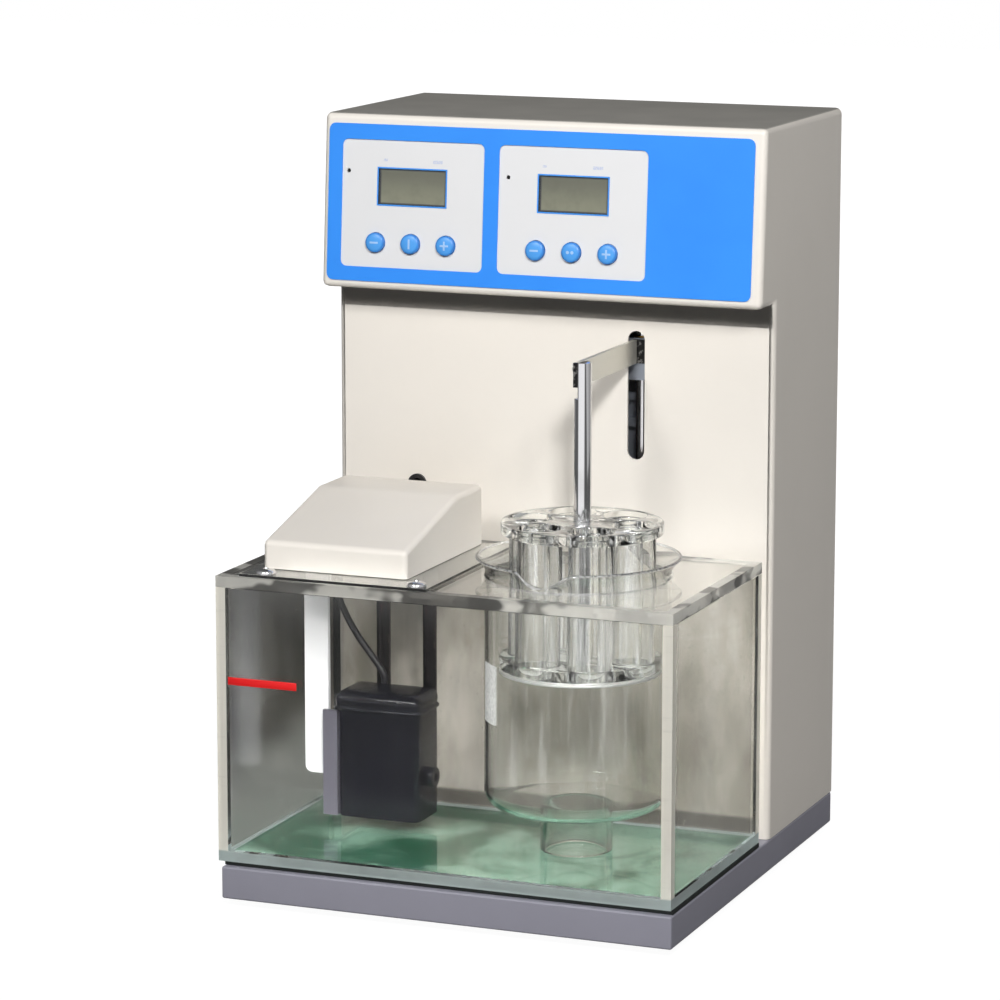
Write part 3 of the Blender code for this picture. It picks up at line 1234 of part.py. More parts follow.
def make_impeller(p):
    low = p["pump_low"] + IMPELLER_RISE
    x, y = p["well_x"], p["well_y"]
    axis = empty("impeller_axis", (x, y, low))
    wheel = cylinder("impeller", (x, y, low + BLADE_BASE / 2), IMPELLER_RADIUS, BLADE_BASE, "Z",
                     "grey_plastic", 24)

    def blades(bm):
        top = low + IMPELLER_HEIGHT
        put_box(bm, (x - IMPELLER_RADIUS + BLADE_BASE, y - BLADE_THICKNESS / 2, low
                     + BLADE_BASE / 2), (x + IMPELLER_RADIUS - BLADE_BASE,
                                         y + BLADE_THICKNESS / 2, top))

    def crossed(bm):
        top = low + IMPELLER_HEIGHT
        put_box(bm, (x - BLADE_THICKNESS / 2, y - IMPELLER_RADIUS + BLADE_BASE, low
                     + BLADE_BASE / 2), (x + BLADE_THICKNESS / 2,
                                         y + IMPELLER_RADIUS - BLADE_BASE, top))

    join(wheel, loose("add_impeller_blades", blades))
    join(wheel, loose("add_impeller_blades_across", crossed))
    top = p["pump_low"] + WELL_HEIGHT + AXLE_LENGTH - FIT
    start = low + BLADE_BASE / 2
    hub_top = low + IMPELLER_HEIGHT + BLADE_BASE
    join(wheel, cylinder("add_impeller_hub", (x, y, (start + hub_top) / 2), IMPELLER_HUB,
                         hub_top - start, "Z", None, 20))
    join(wheel, cylinder("add_impeller_axle", (x, y, (start + top) / 2), AXLE_RADIUS,
                         top - start, "Z", None, 12))
    hang(wheel, axis)
    return axis


def make_bracket(p):
    """Bracket round the pump's left side: a lip seen in front, a web, and a strap behind the
    pump that lies against the heater's legs."""
    web_right = p["pump_left"] - FIT
    web_left = web_right - BRACKET_SHEET
    lip_left = web_right - BRACKET_LIP
    front = p["pump_front"]
    strap_rear = p["leg_y"] - HEATER_RADIUS - FIT
    strap_front = strap_rear - STRAP_THICKNESS
    end = p["pump_right"] - PUMP_CORNER
    outline = [(lip_left, front), (web_right, front), (web_right, strap_front),
               (end, strap_front), (end, strap_rear), (web_left, strap_rear),
               (web_left, front + BRACKET_SHEET), (lip_left, front + BRACKET_SHEET)]
    height = PUMP_HEIGHT - FIT
    return slab("pump_bracket", [outline], height, "grey_plastic", (0, 0, 0),
                (0, 0, p["pump_low"] + height / 2))


def smooth_route(points, step):
    """Points about a step apart on a smooth curve through the route's own points."""
    ends = [points[0] * 2 - points[1], *points, points[-1] * 2 - points[-2]]
    route = []
    for i in range(1, len(ends) - 2):
        a, b, c, d = ends[i - 1:i + 3]
        count = max(1, round((c - b).length / step))
        for k in range(count):
            t = k / count
            route.append(0.5 * (2 * b + (c - a) * t + (2 * a - 5 * b + 4 * c - d) * t ** 2
                                + (3 * b - 3 * c + d - a) * t ** 3))
    route.append(points[-1])
    return route


# The pump's cable between its two straight ends: shares of the way across, and of the way down
CABLE_SHARES = ((0.02, 0.36), (0.16, 0.50), (0.42, 0.66), (0.72, 0.80), (0.93, 0.90))


def make_cable(p):
    top = p["plate_top"] + CABLE_ENTRY_UP
    low = p["gland_top"] + FIT
    start = Vector((p["cable_x"], p["gland_y"], top))
    end = Vector((p["gland_x"], p["gland_y"], low))
    straight = Vector((0, 0, 2 * CABLE_RADIUS))
    points = [start, start - straight * 2]
    for across, down in CABLE_SHARES:
        points.append(Vector((start.x + (end.x - start.x) * across, start.y,
                              start.z + (end.z - start.z) * down)))
    points += [end + straight, end]
    route = smooth_route(points, 5 * CABLE_RADIUS)
    return smooth(tube_along("pump_cable", route, CABLE_RADIUS, "black_plastic", 2))


def make_unit():
    p = unit_places()
    holder = empty("heater_lift_axis", (p["left"], p["front"], p["plate_low"]))
    pieces = [make_mounting_plate(p), make_housing(p), make_heater(p), make_sensor(p),
              *make_pump(p), make_bracket(p), make_cable(p), make_impeller(p)]
    for piece in pieces:
        hang(piece, holder)


# Electrical pieces

def make_socket():
    """Round socket for the heater unit's plug, turned about Z and laid towards the front."""
    inside = -SOCKET_LENGTH + SOCKET_FLANGE_THICKNESS
    flange = FIT + SOCKET_FLANGE_THICKNESS
    profile = [(SOCKET_BORE, flange), (SOCKET_FLANGE, flange), (SOCKET_FLANGE, FIT),
               (SOCKET_RADIUS, FIT), (SOCKET_RADIUS, inside), (0, inside),
               (0, flange - SOCKET_BORE_DEPTH), (SOCKET_BORE, flange - SOCKET_BORE_DEPTH)]
    place = (CASE_LEFT + SOCKET_FROM_SIDE, COLUMN_Y, BASE_TOP + SOCKET_RISE)
    socket = turned("heater_socket", profile, place, "black_plastic", 32, closed=True)
    socket.rotation_euler = (math.pi / 2, 0, 0)


def make_transformer():
    x, y = CASE_LEFT + CORE_FROM_SIDE, REAR_Y - CORE_FROM_REAR
    low = BASE_TOP + FIT
    core = box("transformer", (x - CORE_WIDTH / 2, y - CORE_DEPTH / 2, low),
               (x + CORE_WIDTH / 2, y + CORE_DEPTH / 2, low + CORE_HEIGHT), "copper")
    middle = low + CORE_HEIGHT / 2
    join(core, box("add_winding", (x - WINDING_WIDTH / 2, y - WINDING_DEPTH / 2,
                                   middle - WINDING_HEIGHT / 2),
                   (x + WINDING_WIDTH / 2, y + WINDING_DEPTH / 2, middle + WINDING_HEIGHT / 2)))


def make_inlet():
    x, z = CASE_RIGHT - INLET_FROM_SIDE, BASE_TOP + INLET_RISE
    outer = REAR_Y - REAR_RECESS + FIT
    flange = box("mains_inlet", (x - INLET_WIDTH / 2, outer, z - INLET_HEIGHT / 2),
                 (x + INLET_WIDTH / 2, outer + INLET_FLANGE, z + INLET_HEIGHT / 2),
                 "black_plastic", INLET_FLANGE, 3, lambda a, b: a.x * b.x > 0 and a.z * b.z > 0
                 and abs(a.y - b.y) > WELD)
    join(flange, box("add_inlet_body", (x - INLET_BODY_WIDTH / 2, outer - INLET_BODY_DEPTH,
                                        z - INLET_BODY_HEIGHT / 2),
                     (x + INLET_BODY_WIDTH / 2, outer + INLET_FLANGE / 2,
                      z + INLET_BODY_HEIGHT / 2)))
    mouth = outer + INLET_FLANGE
    cut(flange, box("cut_inlet_cavity", (x - INLET_CAVITY_WIDTH / 2, mouth - INLET_CAVITY_DEPTH,
                                         z - INLET_CAVITY_HEIGHT / 2),
                    (x + INLET_CAVITY_WIDTH / 2, mouth + OVERRUN, z + INLET_CAVITY_HEIGHT / 2)))


def bezel_body():
    """Width and height of the switch frame's body, which goes through the rear panel."""
    wide = ROCKER_WIDTH + 2 * ROCKER_SIDE_GAP + 2 * BEZEL_BODY_WALL
    tall = ROCKER_HEIGHT + 2 * ROCKER_END_GAP + 2 * BEZEL_BODY_WALL
    return wide, tall


def make_power_switch():
    x, z = CASE_RIGHT - INLET_FROM_SIDE, BASE_TOP + ROCKER_RISE
    outer = REAR_Y - REAR_RECESS + FIT
    frame = box("switch_frame", (x - BEZEL_WIDTH / 2, outer, z - BEZEL_HEIGHT / 2),
                (x + BEZEL_WIDTH / 2, outer + BEZEL_THICKNESS, z + BEZEL_HEIGHT / 2),
                "black_plastic")
    wide, tall = bezel_body()
    join(frame, box("add_switch_body", (x - wide / 2, outer - BEZEL_BODY_DEPTH, z - tall / 2),
                    (x + wide / 2, outer + BEZEL_THICKNESS / 2, z + tall / 2)))
    inner_wide, inner_tall = wide - 2 * BEZEL_BODY_WALL, tall - 2 * BEZEL_BODY_WALL
    back = outer - BEZEL_BODY_DEPTH + BEZEL_BODY_WALL
    mouth = outer + BEZEL_THICKNESS
    cut(frame, box("cut_switch_well", (x - inner_wide / 2, back, z - inner_tall / 2),
                   (x + inner_wide / 2, mouth + OVERRUN, z + inner_tall / 2)))
    pivot = mouth - ROCKER_DEPTH / 2
    half = ROCKER_HEIGHT / 2
    rise = half * math.tan(ROCKER_TILT)
    outline = [(ROCKER_DEPTH / 2 + ROCKER_PROUD, -half), (ROCKER_DEPTH / 2 - rise, 0),
               (ROCKER_DEPTH / 2 + ROCKER_PROUD, half), (-ROCKER_DEPTH / 2, half),
               (-ROCKER_DEPTH / 2, -half)]
    rocker = slab("switch_rocker", [outline], ROCKER_WIDTH, "black_plastic", SIDEWAYS, (0, 0, 0))
    rocker.matrix_world = (Matrix.Translation((x, pivot, z)) @ Matrix.Rotation(-ROCKER_TILT, 4, "X")
                           @ rocker.matrix_world)


def make_all():
    clear_scene()
    face = empty("head_face", (CASE_X, FACE_FOOT_Y, HEAD_BOTTOM))
    face.rotation_euler = (math.pi / 2 - FACE_LEAN, 0, 0)
    make_base()
    make_case(face)
    make_rear_panel()
    make_front_panel(face)
    make_tank()
    make_beaker()
    places = lift_places()
    carriage = empty("lift_carriage", (places["guide_x"], places["guide_y"], ARM_BOTTOM))
    bpy.context.view_layer.update()
    make_arm(places, carriage)
    make_slider(places, carriage)
    make_crank(places)
    make_frame(places)
    make_motor(places)
    make_basket(carriage)
    make_unit()
    make_socket()
    make_transformer()
    make_inlet()
    make_power_switch()
    bpy.context.view_layer.update()


make_all()
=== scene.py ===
"""Looks of the tablet disintegration tester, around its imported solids.

Metres, +Z up, the front towards -Y, the origin in the middle of the footprint on the bench.
"""
import json
import math

import bmesh
import bpy
import numpy as np
from mathutils import Matrix, Vector


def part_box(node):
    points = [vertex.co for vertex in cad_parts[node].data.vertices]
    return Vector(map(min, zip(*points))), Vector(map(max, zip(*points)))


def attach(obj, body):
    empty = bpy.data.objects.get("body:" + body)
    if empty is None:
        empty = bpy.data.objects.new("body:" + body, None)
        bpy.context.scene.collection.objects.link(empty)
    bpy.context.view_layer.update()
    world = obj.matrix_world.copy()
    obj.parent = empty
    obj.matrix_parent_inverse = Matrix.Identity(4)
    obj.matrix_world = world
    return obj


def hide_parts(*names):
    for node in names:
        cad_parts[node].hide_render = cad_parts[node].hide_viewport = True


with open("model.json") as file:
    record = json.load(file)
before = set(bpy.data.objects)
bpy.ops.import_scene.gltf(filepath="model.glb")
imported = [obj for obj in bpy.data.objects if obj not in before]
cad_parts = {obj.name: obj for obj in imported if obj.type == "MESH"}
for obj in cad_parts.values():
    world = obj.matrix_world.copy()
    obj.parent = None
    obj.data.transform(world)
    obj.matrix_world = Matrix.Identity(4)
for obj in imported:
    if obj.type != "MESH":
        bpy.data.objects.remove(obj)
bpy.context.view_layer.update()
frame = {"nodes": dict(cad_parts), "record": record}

MM = 0.001
TAU = 2 * math.pi
BODY_OF = {node: body for body, nodes in frame["record"]["behaviour"]["bodies"].items()
           for node in nodes}
JOINT = {j["name"]: j for j in frame["record"]["behaviour"]["joints"]}

# Camera, fitted to the photograph: where it aims, how far off it stands, and its lens
AIM = Vector((1.0, -31.6, 230.0)) * MM
CAMERA_AZIMUTH = math.radians(21.73)
CAMERA_ELEVATION = math.radians(10.47)
CAMERA_ROLL = math.radians(0.07)
CAMERA_DISTANCE = 2287.7 * MM
FOCAL_PX = 4088.8
IMAGE_PX = 1000
OPTICAL_AXIS_PX = (516.81, 483.95)
SENSOR = 36.0

# The head's leaning face: its foot in the middle of the case, and its lean
FACE_FOOT = Vector((1.0, -1.8, 330.9)) * MM
FACE_LEAN = math.atan2(7.0, 99.6)
FACE_ACROSS = Vector((1, 0, 0))
FACE_UP = Vector((0, math.sin(FACE_LEAN), math.cos(FACE_LEAN)))
FACE_OUT = Vector((0, -math.cos(FACE_LEAN), math.sin(FACE_LEAN)))


def srgb(red, green, blue):
    """A colour given in screen values from 0 to 255, as the light values that shaders use."""
    parts = [c / 255 for c in (red, green, blue)]
    return tuple(p / 12.92 if p <= 0.04045 else ((p + 0.055) / 1.055) ** 2.4 for p in parts)


# Shader nodes

class Tone:
    """A node's output. Arithmetic on it adds Math nodes to the same finish."""

    def __init__(self, finish, socket):
        self.finish = finish
        self.socket = socket

    def __add__(self, other):
        return self.finish.math("ADD", self, other)

    def __sub__(self, other):
        return self.finish.math("SUBTRACT", self, other)

    def __rsub__(self, other):
        return self.finish.math("SUBTRACT", other, self)

    def __mul__(self, other):
        return self.finish.math("MULTIPLY", self, other)

    def __truediv__(self, other):
        return self.finish.math("DIVIDE", self, other)

    def __rtruediv__(self, other):
        return self.finish.math("DIVIDE", other, self)

    def __pow__(self, other):
        return self.finish.math("POWER", self, other)

    def __mod__(self, other):
        return self.finish.math("FLOORED_MODULO", self, other)

    def __lt__(self, other):
        return self.finish.math("LESS_THAN", self, other)

    def __gt__(self, other):
        return self.finish.math("GREATER_THAN", self, other)

    def __abs__(self):
        return self.finish.math("ABSOLUTE", self)

    __radd__ = __add__
    __rmul__ = __mul__


class Finish:
    """A material with a Principled shader, and the nodes that vary it over the surface."""

    def __init__(self, name, colour, roughness=0.5, **constants):
        self.material = bpy.data.materials.new(name)
        self.material.use_nodes = True
        self.tree = self.material.node_tree
        self.shader = self.tree.nodes["Principled BSDF"]
        self.surface = self.tree.nodes["Material Output"].inputs["Surface"]
        self.set("Base Color", colour)
        self.set("Roughness", roughness)
        for key, value in constants.items():
            self.set(key.replace("_", " "), value)

    def put(self, socket, value):
        """Link a tone to a socket, or set the socket to a number, colour or vector."""
        if isinstance(value, Tone):
            self.tree.links.new(value.socket, socket)
        elif isinstance(value, (tuple, list)) and len(value) == 3 and socket.type == "RGBA":
            socket.default_value = (*value, 1.0)
        else:
            socket.default_value = value

    def set(self, name, value):
        self.put(self.shader.inputs[name], value)

    def node(self, kind, settings=None, sockets=None, out=0):
        """Add a node of this type, with its settings first and then its sockets."""
        made = self.tree.nodes.new("ShaderNode" + kind)
        for key, value in (settings or {}).items():
            if key == "stops":
                ramp = made.color_ramp.elements
                while len(ramp) < len(value):
                    ramp.new(0.5)
                for stop, (place, colour) in zip(ramp, value):
                    stop.position = place
                    stop.color = (*colour, 1.0)
            else:
                setattr(made, key, value)
        for key, value in (sockets or {}).items():
            self.put(made.inputs[key], value)
        return Tone(self, made.outputs[out])

    def math(self, operation, *values):
        return self.node("Math", {"operation": operation}, dict(enumerate(values)))

    def clamp(self, tone):
        return self.node("Clamp", None, {"Value": tone})

    def mix(self, factor, first, second):
        """A colour between two colours."""
        return self.node("Mix", {"data_type": "RGBA"}, {0: factor, 6: first, 7: second}, 2)

    def place(self, centre=(0, 0, 0), turn=(0, 0, 0), scale=(1, 1, 1)):
        """Object coordinates, moved to a centre, turned and scaled."""
        here = self.node("TexCoord", None, None, 3)
        moved = self.node("Mapping", {"vector_type": "TEXTURE"},
                          {"Vector": here, "Location": tuple(centre), "Rotation": tuple(turn)})
        if tuple(scale) == (1, 1, 1):
            return moved
        return self.node("VectorMath", {"operation": "MULTIPLY"}, {0: moved, 1: tuple(scale)})

    def axes(self, vector):
        """The three parts of a vector."""
        split = self.node("SeparateXYZ", None, {0: vector}).socket.node
        return [Tone(self, split.outputs[i]) for i in range(3)]

    def along(self, point, direction, vector=None):
        """Distance from a point along a direction."""
        moved = self.place(centre=point) if vector is None else vector
        return self.node("VectorMath", {"operation": "DOT_PRODUCT"},
                         {0: moved, 1: tuple(direction)}, 1)

    def uv(self):
        return self.node("TexCoord", None, None, 2)

    def noise(self, scale, detail=3.0, roughness=0.55, vector=None, distortion=0.0):
        return self.node("TexNoise", None, {"Vector": vector or self.place(), "Scale": scale,
                                            "Detail": detail, "Roughness": roughness,
                                            "Distortion": distortion})

    def cells(self, scale, vector=None, feature="F1"):
        return self.node("TexVoronoi", {"feature": feature},
                         {"Vector": vector or self.place(), "Scale": scale})

    def band(self, tone, low, high):
        """0 below the lower value and 1 above the higher one, with a soft step between."""
        return self.node("MapRange", {"interpolation_type": "SMOOTHSTEP"},
                         {"Value": tone, "From Min": low, "From Max": high})

    def bump(self, height, distance, strength=1.0, under=None):
        sockets = {"Height": height, "Distance": distance, "Strength": strength}
        if under is not None:
            sockets["Normal"] = under
        return self.node("Bump", None, sockets)

    def output(self, tone):
        self.put(self.surface, tone)
        return self.material

    def lit(self):
        """The Principled shader's own output."""
        return Tone(self, self.shader.outputs[0])

    def blend(self, factor, first, second):
        """A shader between two shaders."""
        return self.node("MixShader", None, {0: factor, 1: first, 2: second})

    def clear_shadow(self, shader, share):
        """Let a share of the lamps' light through, where a clear wall would shade it all."""
        ray = self.node("LightPath", None, None, 1)
        gone = self.node("BsdfTransparent")
        return self.blend(ray * share, shader, gone)

    def layer(self, colour, roughness, **constants):
        """A second Principled shader in the same material."""
        sockets = {"Base Color": colour, "Roughness": roughness}
        sockets.update({key.replace("_", " "): value for key, value in constants.items()})
        return self.node("BsdfPrincipled", None, sockets)


# Finishes

def enamel(name, colour, grain, cloud, roughness, printed=None):
    """Stoved enamel on sheet metal: fine orange peel, faint clouds, and dust towards the foot."""
    f = Finish(name, colour, roughness)
    clouds = f.noise(9.0, 4.0)
    specks = f.noise(900.0, 2.0)
    dull = tuple(c * cloud for c in colour)
    _, _, height = f.axes(f.place())
    dust = (1 - f.band(height, 0.0, 60 * MM)) * 0.35
    tint = f.mix(f.band(clouds, 0.35, 0.75), colour, dull)
    tint = f.mix(dust * f.noise(60.0, 3.0), tint, tuple(c * 0.8 for c in dull))
    tint = f.mix(f.band(specks, 0.62, 0.75) * 0.25, tint, tuple(c * 0.88 for c in colour))
    f.set("Base Color", printed(f, tint) if printed else tint)
    f.set("Roughness", roughness + (clouds - 0.5) * 0.12 + (specks - 0.5) * 0.08)
    peel = f.noise(grain, 2.0, 0.5)
    f.set("Normal", f.bump(peel, 0.03 * MM, 0.6))
    return f.material


IVORY = srgb(240, 234, 225)
# The panel's two windows and its small marks, on the leaning face in mm: across and up
WINDOWS = ((-120.7, -33.6, 12.7, 85.2), (-24.5, 64.4, 12.7, 85.2))
MARKS = ((-94.2, 73.9, 1.2, 0.7), (-62.2, 73.7, 3.0, 0.9), (2.6, 74.1, 1.2, 0.7),
         (34.6, 74.3, 3.0, 0.9))


def ivory_enamel():
    return enamel("ivory_enamel", IVORY, 1300.0, 0.965, 0.42)


def case_enamel():
    """The case's enamel: pale grey windows are printed on its face, and its top is painted a
    darker grey, as painted shade.
    """

    def printed(f, tint):
        here = f.place(centre=FACE_FOOT)
        across = f.along(FACE_FOOT, FACE_ACROSS, here)
        up = f.along(FACE_FOOT, FACE_UP, here)
        out = f.along(FACE_FOOT, FACE_OUT, here)

        def patch(left, right, low, high):
            """1 inside a rectangle of the face."""
            wide = abs(across - (left + right) / 2 * MM) < (right - left) / 2 * MM
            return wide * (abs(up - (low + high) / 2 * MM) < (high - low) / 2 * MM)

        face = out > -0.7 * MM
        first, second = (patch(a - 1, b + 1, c - 1, d + 1) for a, b, c, d in WINDOWS)
        tint = f.mix(face * f.math("MAXIMUM", first, second), tint, srgb(228, 228, 229))
        rough = f.band(f.noise(1800.0, 2.0), 0.35, 0.6)
        for x, z, wide, tall in MARKS:
            mark = face * patch(x - wide, x + wide, z - tall, z + tall)
            tint = f.mix(mark * rough * 0.6, tint, srgb(150, 172, 222))
        _, _, height = f.axes(f.place())
        # Painted shade: the head's top face is given a darker, cloudy grey for the little light
        # that falls on it.
        top = f.band(height, 429.6 * MM, 430.2 * MM)
        top_shade_strength = 0.75 + f.noise(30.0, 4.0) * 0.25
        return f.mix(top * top_shade_strength, tint, srgb(146, 144, 138))

    return enamel("case_enamel", IVORY, 1300.0, 0.965, 0.42, printed)


def slate_enamel():
    return enamel("slate_enamel", srgb(150, 149, 161), 1600.0, 0.92, 0.50)


def clear_acrylic():
    """Clear cast acrylic sheet: hardly green, with faint ripples and hairline scratches."""
    f = Finish("clear_acrylic", srgb(253, 254, 252), 0.02, IOR=1.49, Transmission_Weight=1.0)
    ripple = f.noise(24.0, 1.0)
    hair = f.noise(1.0, 4.0, 0.6, f.place(scale=(1800, 60, 60)))
    f.set("Roughness", 0.015 + f.band(hair, 0.68, 0.8) * 0.12)
    f.set("Normal", f.bump(ripple, 0.12 * MM, 0.25))
    return f.output(f.clear_shadow(f.lit(), 0.82))


def sheet_edges(name, low, high, wide, top_open, pale, foot, share, reflection_patches=0.0):
    """Clear acrylic sheet whose cut and glued edges are milky, as a strip along each edge.

    A point lies on an edge strip where it is near two faces of the outer box at once. The
    strip has one colour, and another along the box's foot. The rear sheet is tinted darker in
    clouds, partly as a stain and partly as painted shade for the shaded column behind it, the
    left one is dull and dusty, and the corner between them is dark.
    """
    f = Finish(name, srgb(253, 253, 252), 0.02, IOR=1.49, Transmission_Weight=1.0)
    ripple = f.noise(18.0, 1.0)
    hair = f.noise(1.0, 4.0, 0.6, f.place(scale=(60, 1600, 60)))
    places = f.axes(f.place())
    rear = f.band(places[1], high[1] - wide * 1.2, high[1] - wide)
    left = 1 - f.band(places[0], low[0] + wide, low[0] + wide * 1.2)
    walls = (left + rear) * (1.0 if top_open else 0.0)
    stain = f.noise(1.0, 4.0, 0.6, f.place(scale=(26, 26, 9)))
    # Partly painted shade: the rear sheet is tinted darker in clouds for the shaded column seen
    # through it, drawn with the look of a stain.
    stain_and_shade_tint = f.clamp(rear * walls) * (f.band(stain, 0.35, 0.7) * 0.6 + 0.34)
    f.set("Base Color", f.mix(stain_and_shade_tint, srgb(253, 253, 252), srgb(166, 164, 155)))
    f.set("Roughness", 0.015 + f.band(hair, 0.70, 0.8) * 0.10 + f.clamp(left * walls) * 0.16)
    f.set("Normal", f.bump(ripple, 0.10 * MM, 0.25))
    near = []
    for axis, tone in enumerate(places):
        side = f.math("MINIMUM", tone - low[axis], high[axis] - tone)
        if axis == 2 and top_open:
            side = tone - low[axis]
        near.append(1 - f.band(side, wide * 0.9, wide * 1.04))
    count = near[0] + near[1] + near[2]
    strip = f.band(count, 1.3, 1.7)
    cloud = f.noise(34.0, 3.0)
    streak = f.noise(1.0, 3.0, 0.6, f.place(scale=(30, 30, 340)))
    milk = f.mix(f.band(cloud, 0.3, 0.75), pale, tuple(c * 0.86 for c in pale))
    milk = f.mix(f.band(streak, 0.55, 0.75) * 0.4, milk, tuple(c * 0.70 for c in pale))
    if top_open:
        milk = f.mix(f.clamp(left * rear), milk, srgb(112, 106, 98))
    # Painted reflection and shade: dark patches on the cover's milky edge strips stand in for dark
    # things mirrored in it or shading it.
    if reflection_patches:
        patch = f.noise(1.0, 2.0, 0.5, f.place(scale=(33, 33, 60)))
        milk = f.mix(f.band(patch, 0.44, 0.51) * reflection_patches, milk, srgb(58, 57, 54))
    if top_open:
        base = 1 - f.band(places[2], low[2] + wide * 0.9, low[2] + wide * 1.1)
        milk = f.mix(base, milk, foot)
    milky = f.layer(milk, 0.30, Transmission_Weight=0.25, IOR=1.49)
    cover = strip * (share + (f.band(cloud, 0.3, 0.7) - 0.5) * 0.16)
    smear = f.noise(1.0, 5.0, 0.6, f.place(scale=(34, 34, 13)), 0.6)
    specks = 1 - f.band(f.cells(170.0), 0.06, 0.10)
    dust = f.band(smear, 0.48, 0.78) * 0.16 + specks * f.band(smear, 0.35, 0.6) * 0.5
    dust = dust * (f.clamp(walls) * 0.92 + 0.08)
    film = f.layer(srgb(196, 195, 188), 0.6)
    sheet = f.blend(dust, f.lit(), film)
    line = f.band(places[2], low[2] + wide, low[2] + wide * 1.1)
    line = line - f.band(places[2], low[2] + wide * 2.2, low[2] + wide * 2.6)
    grime = f.layer(srgb(78, 74, 66), 0.7)
    sheet = f.blend(f.clamp(line * rear * walls) * (0.35 + stain * 0.5), sheet, grime)
    return f.output(f.clear_shadow(f.blend(cover, sheet, milky), 0.9))


def laboratory_glass(name="laboratory_glass", tint=(253, 253, 252)):
    """Drawn glass: clear, with a faint waviness and white runs of scale along its length."""
    f = Finish(name, srgb(*tint), 0.0, IOR=1.47, Transmission_Weight=1.0)
    wave = f.noise(1.0, 2.0, 0.5, f.place(scale=(90, 90, 12)))
    f.set("Normal", f.bump(wave, 0.10 * MM, 0.3))
    smear = f.noise(40.0, 3.0)
    f.set("Roughness", f.band(smear, 0.62, 0.8) * 0.05)
    run = f.noise(1.0, 4.0, 0.7, f.place(scale=(210, 210, 9)))
    scale = f.layer(srgb(240, 241, 240), 0.4)
    return f.output(f.clear_shadow(f.blend(f.band(run, 0.50, 0.72) * 0.42, f.lit(), scale),
                                   0.92))


def green_rubber():
    """Dark green ribbed rubber sheet, with pale clouds of scale, and grimy along its edge."""
    f = Finish("green_rubber", srgb(30, 100, 72), 0.6)
    low, high = (np.array(c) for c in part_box("tank_mat"))
    scuff = f.noise(21.0, 4.0, 0.55, f.place(), 0.4)
    tint = f.mix(f.band(scuff, 0.42, 0.62), srgb(24, 88, 62), srgb(132, 172, 151))
    tint = f.mix(f.band(f.noise(400.0, 2.0), 0.5, 0.8) * 0.3, tint, srgb(16, 66, 48))
    places = f.axes(f.place())
    edge = [f.math("MINIMUM", places[i] - low[i], high[i] - places[i]) for i in (0, 1)]
    edge = 1 - f.band(f.math("MINIMUM", *edge), 0.4 * MM, 1.2 * MM)
    f.set("Base Color", f.mix(edge, tint, srgb(14, 20, 18)))
    f.set("Roughness", 0.5 + f.band(scuff, 0.4, 0.8) * 0.3)
    f.set("Normal", f.bump(f.noise(700.0, 2.0), 0.08 * MM, 0.7))
    return f.material


def moulded_plastic(name, colour, roughness, grain=900.0, wear=0.25, relief=0.5):
    """Moulded plastic: a fine spark-eroded grain, uneven gloss, and paler rubbed places."""
    f = Finish(name, colour, roughness)
    rub = f.noise(45.0, 4.0)
    pale = tuple(min(1.0, c * 1.35 + 0.012) for c in colour)
    f.set("Base Color", f.mix(f.band(rub, 0.55, 0.8) * wear, colour, pale))
    f.set("Roughness", roughness + (rub - 0.5) * 0.18)
    f.set("Normal", f.bump(f.noise(grain, 2.0), 0.03 * MM, relief))
    return f.material


def polished_steel(name="polished_steel", stretch=(700, 700, 14), roughness=0.10,
                   colour=(222, 222, 224)):
    """Polished stainless steel with faint draw marks along one direction."""
    steel = srgb(*colour)
    f = Finish(name, steel, roughness, Metallic=1.0)
    draw = f.noise(1.0, 3.0, 0.6, f.place(scale=stretch))
    haze = f.noise(35.0, 3.0)
    f.set("Base Color", f.mix(f.band(haze, 0.45, 0.8) * 0.4, steel,
                              tuple(c * 0.60 for c in steel)))
    f.set("Roughness", roughness + f.band(draw, 0.45, 0.8) * 0.10 + (haze - 0.5) * 0.06)
    f.set("Normal", f.bump(draw, 0.012 * MM, 0.5))
    return f.material


def brushed_steel(name="brushed_steel", stretch=(30, 30, 1500), colour=(196, 195, 190)):
    """Brushed steel: fine lines along one direction, a little stained."""
    f = Finish(name, srgb(*colour), 0.34, Metallic=0.85)
    lines = f.noise(1.0, 4.0, 0.65, f.place(scale=stretch))
    stain = f.noise(30.0, 4.0)
    base = srgb(*colour)
    f.set("Base Color", f.mix(f.band(stain, 0.45, 0.8) * 0.5, base,
                              tuple(c * 0.7 for c in base)))
    f.set("Roughness", 0.26 + lines * 0.22)
    f.set("Normal", f.bump(lines, 0.02 * MM, 0.6))
    return f.material


def bearing_bronze():
    """Oiled bearing bronze: turned rings and darker oil stains."""
    f = Finish("bearing_bronze", srgb(186, 142, 74), 0.32, Metallic=1.0)
    oil = f.noise(160.0, 4.0)
    f.set("Base Color", f.mix(f.band(oil, 0.45, 0.75), srgb(196, 152, 84), srgb(120, 82, 40)))
    f.set("Roughness", 0.24 + oil * 0.2)
    f.set("Normal", f.bump(f.noise(1.0, 2.0, 0.5, f.place(scale=(60, 60, 2500))), 0.02 * MM, 0.4))
    return f.material


def panel_film():
    """Bright blue printed film: satin, with a faint woven screen-print texture."""
    blue = srgb(46, 146, 250)
    f = Finish("panel_film", blue, 0.38, Coat_Weight=0.15, Coat_Roughness=0.3)
    cloud = f.noise(14.0, 3.0)
    x, y, z = f.axes(f.place(scale=(1, 1, 1)))
    screen = f.math("SINE", x * 9000.0) * f.math("SINE", z * 9000.0)
    f.set("Base Color", f.mix(f.band(cloud, 0.35, 0.75) * 0.5, blue, srgb(30, 132, 240)))
    f.set("Roughness", 0.36 + (cloud - 0.5) * 0.12)
    f.set("Normal", f.bump(screen, 0.004 * MM, 0.35))
    return f.material


